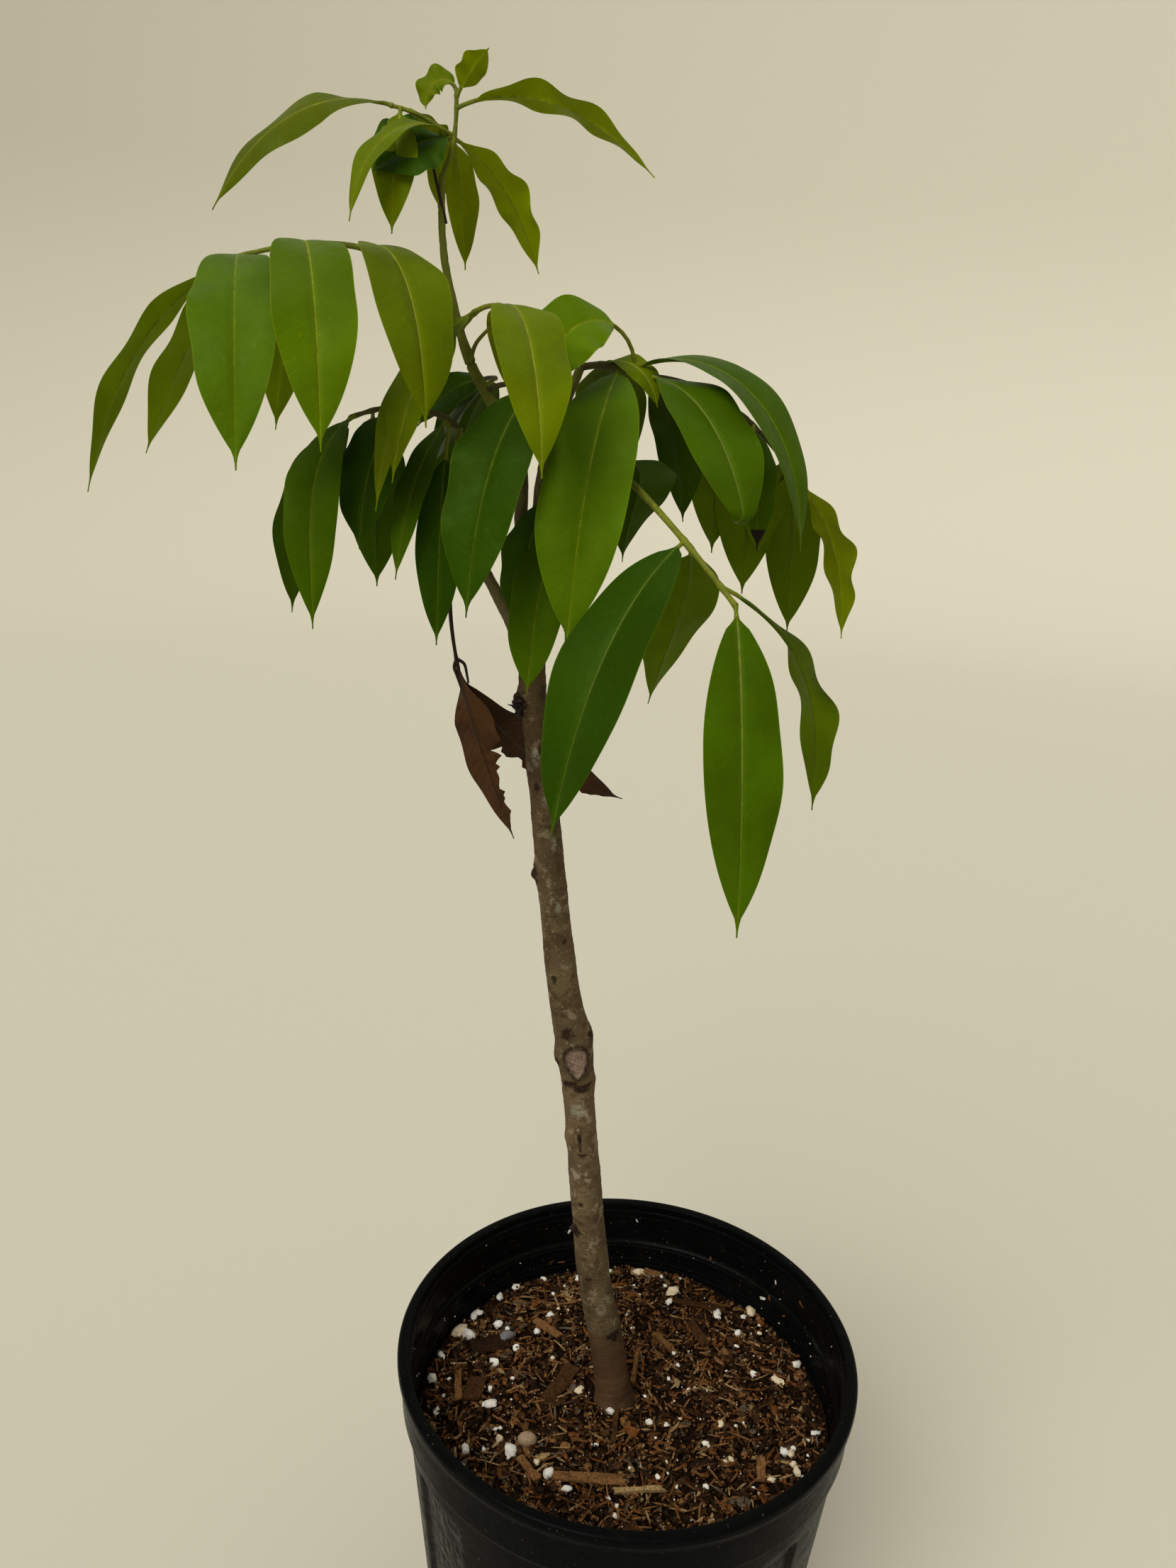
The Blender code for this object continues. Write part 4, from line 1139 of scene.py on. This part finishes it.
def trunk_skin(point, z, heading):
    """Relief and marks at one place on the trunk: how far it stands out, and its four values."""
    spot = point * 1000
    lumps = noise.fractal(Vector((spot.x, spot.y, spot.z * 0.6)) * 0.07, 0.7, 2.0, 3) * 0.5
    creases = noise.noise(Vector((spot.x * 0.12, spot.y * 0.12, spot.z * 0.9))) * 0.16
    pits = noise.fractal(spot * 0.5, 0.8, 2.0, 3) * 0.12
    reach = knob_swell(z, heading) + lumps + creases + pits
    ragged = noise.fractal(spot * 0.45, 0.7, 2.0, 3) * 0.55
    point_down = 1 + SCAR_POINT * max(min((z - PRUNING_SCAR.z) / PRUNING_SCAR.tall, 1.0), -1.2)
    face = PRUNING_SCAR._replace(wide=PRUNING_SCAR.wide * point_down)
    scar = mark_share(face, z, heading, 0.08, ragged * 0.12)
    callus = face._replace(tall=CALLUS_TALL, wide=face.wide + CALLUS_WIDER)
    rim = mark_share(callus, z, heading, 0.14, ragged * 0.2) - scar
    reach += 1.5 * max(rim, 0) - 0.6 * scar
    dark = most_of(ROUGH_SCARS, z, heading, 0.13, ragged)
    dark = max(dark, 0.9 * smooth_step(0.1, 0.5, rim) * (scar < 0.3))
    reach += 1.3 * dark * noise.noise(spot * 0.7)
    pale = most_of(PALE_MARKS, z, heading, 0.5, ragged) * 0.7
    stain = 1 - smooth_step(STAIN_TOP - 9, STAIN_TOP + 7, z + ragged * 26)
    return reach * MM, (scar, dark, min(pale * (1 + ragged), 1.0), stain * 0.85)


def bough_skin(name, point, out):
    """Relief at one place on a bough, and how far it has turned from brown to olive there."""
    spot = point * 1000 + out * 3
    reach = (noise.fractal(spot * 0.12, 0.7, 2.0, 3) * 0.3 + noise.noise(spot * 0.5) * 0.1) * MM
    return reach, (smooth_step(*GREENING[name], point.z / MM), 0.0, 0.0, 0.0)


def build_limb(name):
    """A limb with its relief; the trunk has scars and knobs as well."""
    points, thick = curve_points(LIMBS[name], RING_GAP[name])
    verts, values = [], []
    for k, point in enumerate(points):
        across, other = across_path(points, k)
        near_end = 1 - 0.35 * smooth_step(0.985, 1.0, k / (len(points) - 1)) if name == "trunk" else 1.0
        for angle in angles(LIMB_SIDES[name]):
            out = turned(across, other, angle)
            if name == "trunk":
                extra, value = trunk_skin(point, point.z / MM, atan2(out.y, out.x))
            else:
                extra, value = bough_skin(name, point, out)
            verts.append(point + out * (thick[k] / 2 * near_end + extra))
            values.append(value)
    faces = outward(verts, ring_faces(len(points), LIMB_SIDES[name]))
    limb = Gather(name + "_bark")
    limb.add(verts, faces, "bark" if name == "trunk" else "bough_bark", values)
    limb.piece("bark", name)


def build_stubs():
    """Buds, knots and the black broken stub that stand out of the trunk."""
    rng = random.Random(STUB_SEED)
    stubs = Gather("knots_and_stub")
    for bud in BUDS:
        out = Vector((*circle(1, radians(bud.heading)), 0))
        shape = lump(rng, bud.spread * 2 * MM, 1.2, 0.4)
        stubs.lay(shape, limb_point("trunk", bud.z) + out * BUD_OUT * MM, "dead_stalk")
    centre = limb_point("trunk", STUB_HEIGHT)
    for k in range(STUB_LUMPS):
        turn = radians(rng.uniform(*STUB_HEADINGS))
        out = Vector((*circle(1, turn), rng.uniform(-0.3, 0.6)))
        at = centre + Vector((out.x, out.y, 0)) * rng.uniform(6.5, 9.5) * MM + UP * rng.uniform(-4, 4) * MM
        stubs.lay(lump(rng, rng.uniform(2.6, 4.6) * MM, 1.5, 0.6), at, "char")
        if k < STUB_SPIKES:
            end = at + out * rng.uniform(2.5, 5) * MM + UP * rng.uniform(-2, 3) * MM
            stubs.add(*tube([at, end], [0.9 * MM, 0.2 * MM], 6), "char")
    stubs.piece("bark")


# Foliage


def walk(start, heading, rise, dip, length, turn=0, hook=None):
    """Points and directions of a stalk or midrib that bends from one slope to another as it runs out."""
    ways = []
    for k in range(WALK_STEPS + 1):
        s = k / WALK_STEPS
        slope = dip + (rise - dip) * (1 - s) ** DROOP
        if hook:
            slope += hook[1] * smooth_step(hook[0], 1.0, s)
        level = Vector((*circle(1, radians(heading + turn * s)), 0))
        ways.append(turned(level, UP, radians(slope)))
    points = [start.copy()]
    for a, b in zip(ways, ways[1:]):
        points.append(points[-1] + (a + b) * (length * MM / WALK_STEPS / 2))
    return points, ways


def along(values, share):
    """A point or direction at a share of a walked path."""
    place = share * (len(values) - 1)
    k = min(int(place), len(values) - 2)
    return values[k].lerp(values[k + 1], place - k)


def blade_share(t, full):
    """A leaflet's half width along its blade: an oval body and a drawn-out drip tip."""
    if t < WIDEST:
        return sin(pi / 2 * t / WIDEST) ** BASE_FULL
    oval = 1 - min((t - WIDEST) / (OVAL_END - WIDEST), 1.0) ** full
    drip = DRIP_SLOPE * (1 - t) * smooth_step(DRIP_START, DRIP_START + 0.08, t)
    return max(oval, drip)


def torn_share(leaf, hand, t, seed):
    """What is left of one half of a blade where insects or wind have torn its margin."""
    if not leaf.torn or leaf.torn[0] != hand:
        return 1.0
    start, end, depth = leaf.torn[1:]
    bite = smooth_step(start, start + 0.05, t) * (1 - smooth_step(end, 1.0, t))
    ragged = 0.75 + 0.5 * noise.noise(Vector((t * 34, seed, 0)))
    return 1 - depth * bite * ragged


def leaf_kinds(shares, dry):
    """The kind of every face of a leaflet: of its foot, its two sides and its rib on both."""
    sides = 2 * len(TOP_SHARES) + 2
    row = [""] * sides + ["_under"] * sides
    for rib in (len(TOP_SHARES), len(TOP_SHARES) + sides):
        row[rib:rib + 2] = ["_rib" + row[rib]] * 2
    kinds = []
    for k, share in enumerate(shares[:-1]):
        if k <= FOOT_RINGS:
            kinds += ["stalk"] * len(row)
        else:
            kinds += ["char"] * len(row) if dry and share > dry else row
    return kinds + ["stalk", "_under"]


def leaf_shape(base, leaf, rng):
    """Points, faces, face kinds and point values of one leaflet, from inside its stalk to its tip."""
    points, ways = walk(base, leaf.heading, leaf.rise, leaf.dip, leaf.length, leaf.turn, leaf.hook)
    foot = leaf.foot / leaf.length
    phases = {1: rng.uniform(0, TURN), -1: rng.uniform(0, TURN)}
    ripples = rng.uniform(2.2, 3.4)
    seed = rng.uniform(-40, 40)
    chance = rng.random()
    shares = [foot * k / FOOT_RINGS for k in range(FOOT_RINGS)]
    shares += [foot + (1 - foot) * (k / BLADE_RINGS) ** 1.05 for k in range(BLADE_RINGS + 1)]
    verts, values = [], []
    for s in shares:
        t = max((s - foot) / (1 - foot), 0.0)
        yaw = radians(leaf.heading + leaf.turn * s)
        way = along(ways, s).normalized()
        side = Vector((sin(yaw), -cos(yaw), 0))
        up = side.cross(way).normalized()
        roll = radians(leaf.roll) * min(s / ROLL_SHARE, 1.0)
        side, up = turned(side, up, roll), turned(up, -side, roll)
        half = max(leaf.width / 2 * blade_share(t, leaf.full), TIP_HALF)
        open_out = smooth_step(0.0, 0.05, t)
        envelope = sin(pi * min(t * 1.05, 1.0)) ** 0.6 if t > 0 else 0.0
        rib = min(RIB_HALF * (1.25 - t) / half, 0.5)
        fade = 1 - smooth_step(0.75, 1.0, t)
        middle = along(points, s)
        swell = FOOT_RADIUS * (1 + 0.35 * (1 - smooth_step(0, 2.5, s * leaf.length)))
        columns = [*TOP_SHARES, rib, 0.0, -rib, *(-u for u in reversed(TOP_SHARES))]
        under = [-u for u in columns[1:-1]]
        for row, face in ((columns, 1), (under, -1)):
            for u in row:
                hand = 1 if u >= 0 else -1
                ripple = sin(2 * pi * ripples * t + phases[hand]) * envelope
                reach = half * torn_share(leaf, hand, t, seed) * (1 + 0.45 * leaf.wave * ripple)
                size = abs(u)
                lift = half * (tan(radians(leaf.fold)) * size - BLADE_BOW * size * size)
                lift += half * leaf.wave * 1.6 * ripple * size ** 1.5
                skin = BLADE_SKIN / 2 * (1 - size ** 4)
                if size < 1e-6:
                    skin += -RIB_GROOVE * fade if face > 0 else RIB_RIDGE * fade * (1.1 - t)
                flat = side * (u * reach) + up * (lift + face * skin)
                turn = acos(max(min(u, 1.0), -1.0)) * face
                verts.append(middle + (turned(side, up, turn) * swell).lerp(flat, open_out) * MM)
                values.append((u * reach * open_out, (s - foot) * leaf.length, size * open_out, chance))
    faces = ring_faces(len(shares), len(columns) + len(under))
    return verts, outward(verts, faces), leaf_kinds(shares, leaf.dry), values


def spray_path(mass, index):
    """A spray's stalk, from the middle of its limb or from the mass's first stalk."""
    spray = MASSES[mass][index]
    where, place = spray.start
    start = along(spray_path(mass, 0), place) if where == "stalk" else limb_point(where, place)
    return walk(start, spray.heading, spray.rise, spray.dip, spray.length, spray.turn)[0]


def stalk_shape(spray, points):
    """A spray's stalk, thicker where each leaflet leaves it."""
    steps = max(14, round(spray.length / 2))
    shares = [k / steps for k in range(steps + 1)]
    radii = []
    for s in shares:
        radius = spray.thick / 2 * (1 - (1 - STALK_TIP) * s)
        gaps = [(s - leaf.at) * spray.length / NODE_SPREAD for leaf in spray.leaves]
        radii.append(radius * (1 + NODE_SWELL * max(exp(-gap * gap) for gap in gaps)) * MM)
    return tube([along(points, s) for s in shares], radii, STALK_SIDES)


def build_mass(mass, rng):
    """One mass: its leaflets as one piece and its twigs as another."""
    leaves = Gather(mass.replace("_foliage", "") + "_leaflets")
    twigs = Gather(mass.replace("_foliage", "") + "_twigs")
    look = MASS_LOOKS.get(mass, Look())
    for index, spray in enumerate(MASSES[mass]):
        points = spray_path(mass, index)
        twigs.add(*stalk_shape(spray, points), look.twigs)
        for leaf in spray.leaves:
            tint = leaf.tint or look.tint
            verts, faces, kinds, values = leaf_shape(along(points, leaf.at), leaf, rng)
            named = {"stalk": "dead_stalk" if tint == "dead" else "green_stalk", "char": "char"}
            leaves.add(verts, faces, [named.get(kind, tint + kind) for kind in kinds], values)
    leaves.piece(look.slot, mass)
    twigs.piece(look.slot, mass)


def build_loose_twigs():
    """The dead second stem and a bare leaf stalk by the leader, and the forked end of the dead spray."""
    twigs = Gather("loose_twigs")
    for twig in LOOSE_TWIGS:
        points, thick = curve_points([Knot(*point, twig.thick) for point in twig.points], 1.5)
        radii = [t / 2 * (1 - 0.45 * k / len(points)) for k, t in enumerate(thick)]
        twigs.add(*tube(points, radii, 10), twig.finish)
    twigs.piece("bark")


# Stage


def build_stage():
    """A pale round floor that curves up into a wall on all sides."""
    flat = STAGE_RADIUS - STAGE_CURVE
    profile = [(r, 0.0) for r in (0.001, 0.5, 1, 2, 3, flat)]
    for k in range(1, 13):
        a = pi / 2 * k / 12
        profile.append((flat + STAGE_CURVE * sin(a), STAGE_CURVE - STAGE_CURVE * cos(a)))
    profile.append((STAGE_RADIUS, STAGE_HEIGHT))
    points = [(*circle(r, a), z) for r, z in profile for a in angles(STAGE_SIDES)]
    mesh = bpy.data.meshes.new("studio_floor")
    mesh.from_pydata(points, [], ring_faces(len(profile), STAGE_SIDES, caps=False))
    mesh.shade_smooth()
    floor = stand_in_scene("studio_floor", mesh)
    f = Finish("pale_floor", FLOOR, 0.95, 0.0)
    f.set(f.shader["Emission Color"], FLOOR)
    f.set(f.shader["Emission Strength"], FLOOR_GLOW)
    mesh.materials.append(f.material)
    floor.visible_shadow = False


def build_light():
    """An even pale sky and one broad soft light, from the left behind the camera."""
    world = bpy.data.worlds.new("studio_air")
    world.use_nodes = True
    sky = world.node_tree.nodes["Background"].inputs
    sky["Color"].default_value = (*PALE_LIGHT, 1)
    sky["Strength"].default_value = SKY_POWER
    bpy.context.scene.world = world
    data = bpy.data.lights.new("key", "SUN")
    data.energy = KEY_POWER
    data.color = PALE_LIGHT
    data.angle = KEY_SPREAD
    lamp = stand_in_scene("key", data)
    lamp.location = KEY_PLACE
    lamp.rotation_euler = (KEY_AIM - KEY_PLACE).to_track_quat("-Z", "Y").to_euler()


def build_camera():
    data = bpy.data.cameras.new("photo_view")
    data.sensor_fit = "VERTICAL"
    data.sensor_height = FILM_HEIGHT
    data.lens = LENS
    ahead = Vector((0, cos(PITCH_DOWN), -sin(PITCH_DOWN)))
    right = Vector((1, 0, 0))
    above = right.cross(ahead)
    right, above = turned(right, above, ROLL), turned(above, -right, ROLL)
    turns = Matrix((right, above, -ahead)).transposed()
    camera = stand_in_scene("photo_view", data)
    camera.matrix_world = Matrix.Translation(EYE) @ turns.to_4x4()
    bpy.context.scene.camera = camera


FINISHES = make_finishes()
build_camera()
build_pot()
build_soil_bed()
build_shreds()
build_grains()
build_wall_bits()
for limb_name in LIMBS:
    build_limb(limb_name)
build_stubs()
leaf_rng = random.Random(LEAF_SEED)
for mass_name in MASSES:
    build_mass(mass_name, leaf_rng)
build_loose_twigs()
build_stage()
build_light()
bpy.context.scene.view_settings.view_transform = "Standard"
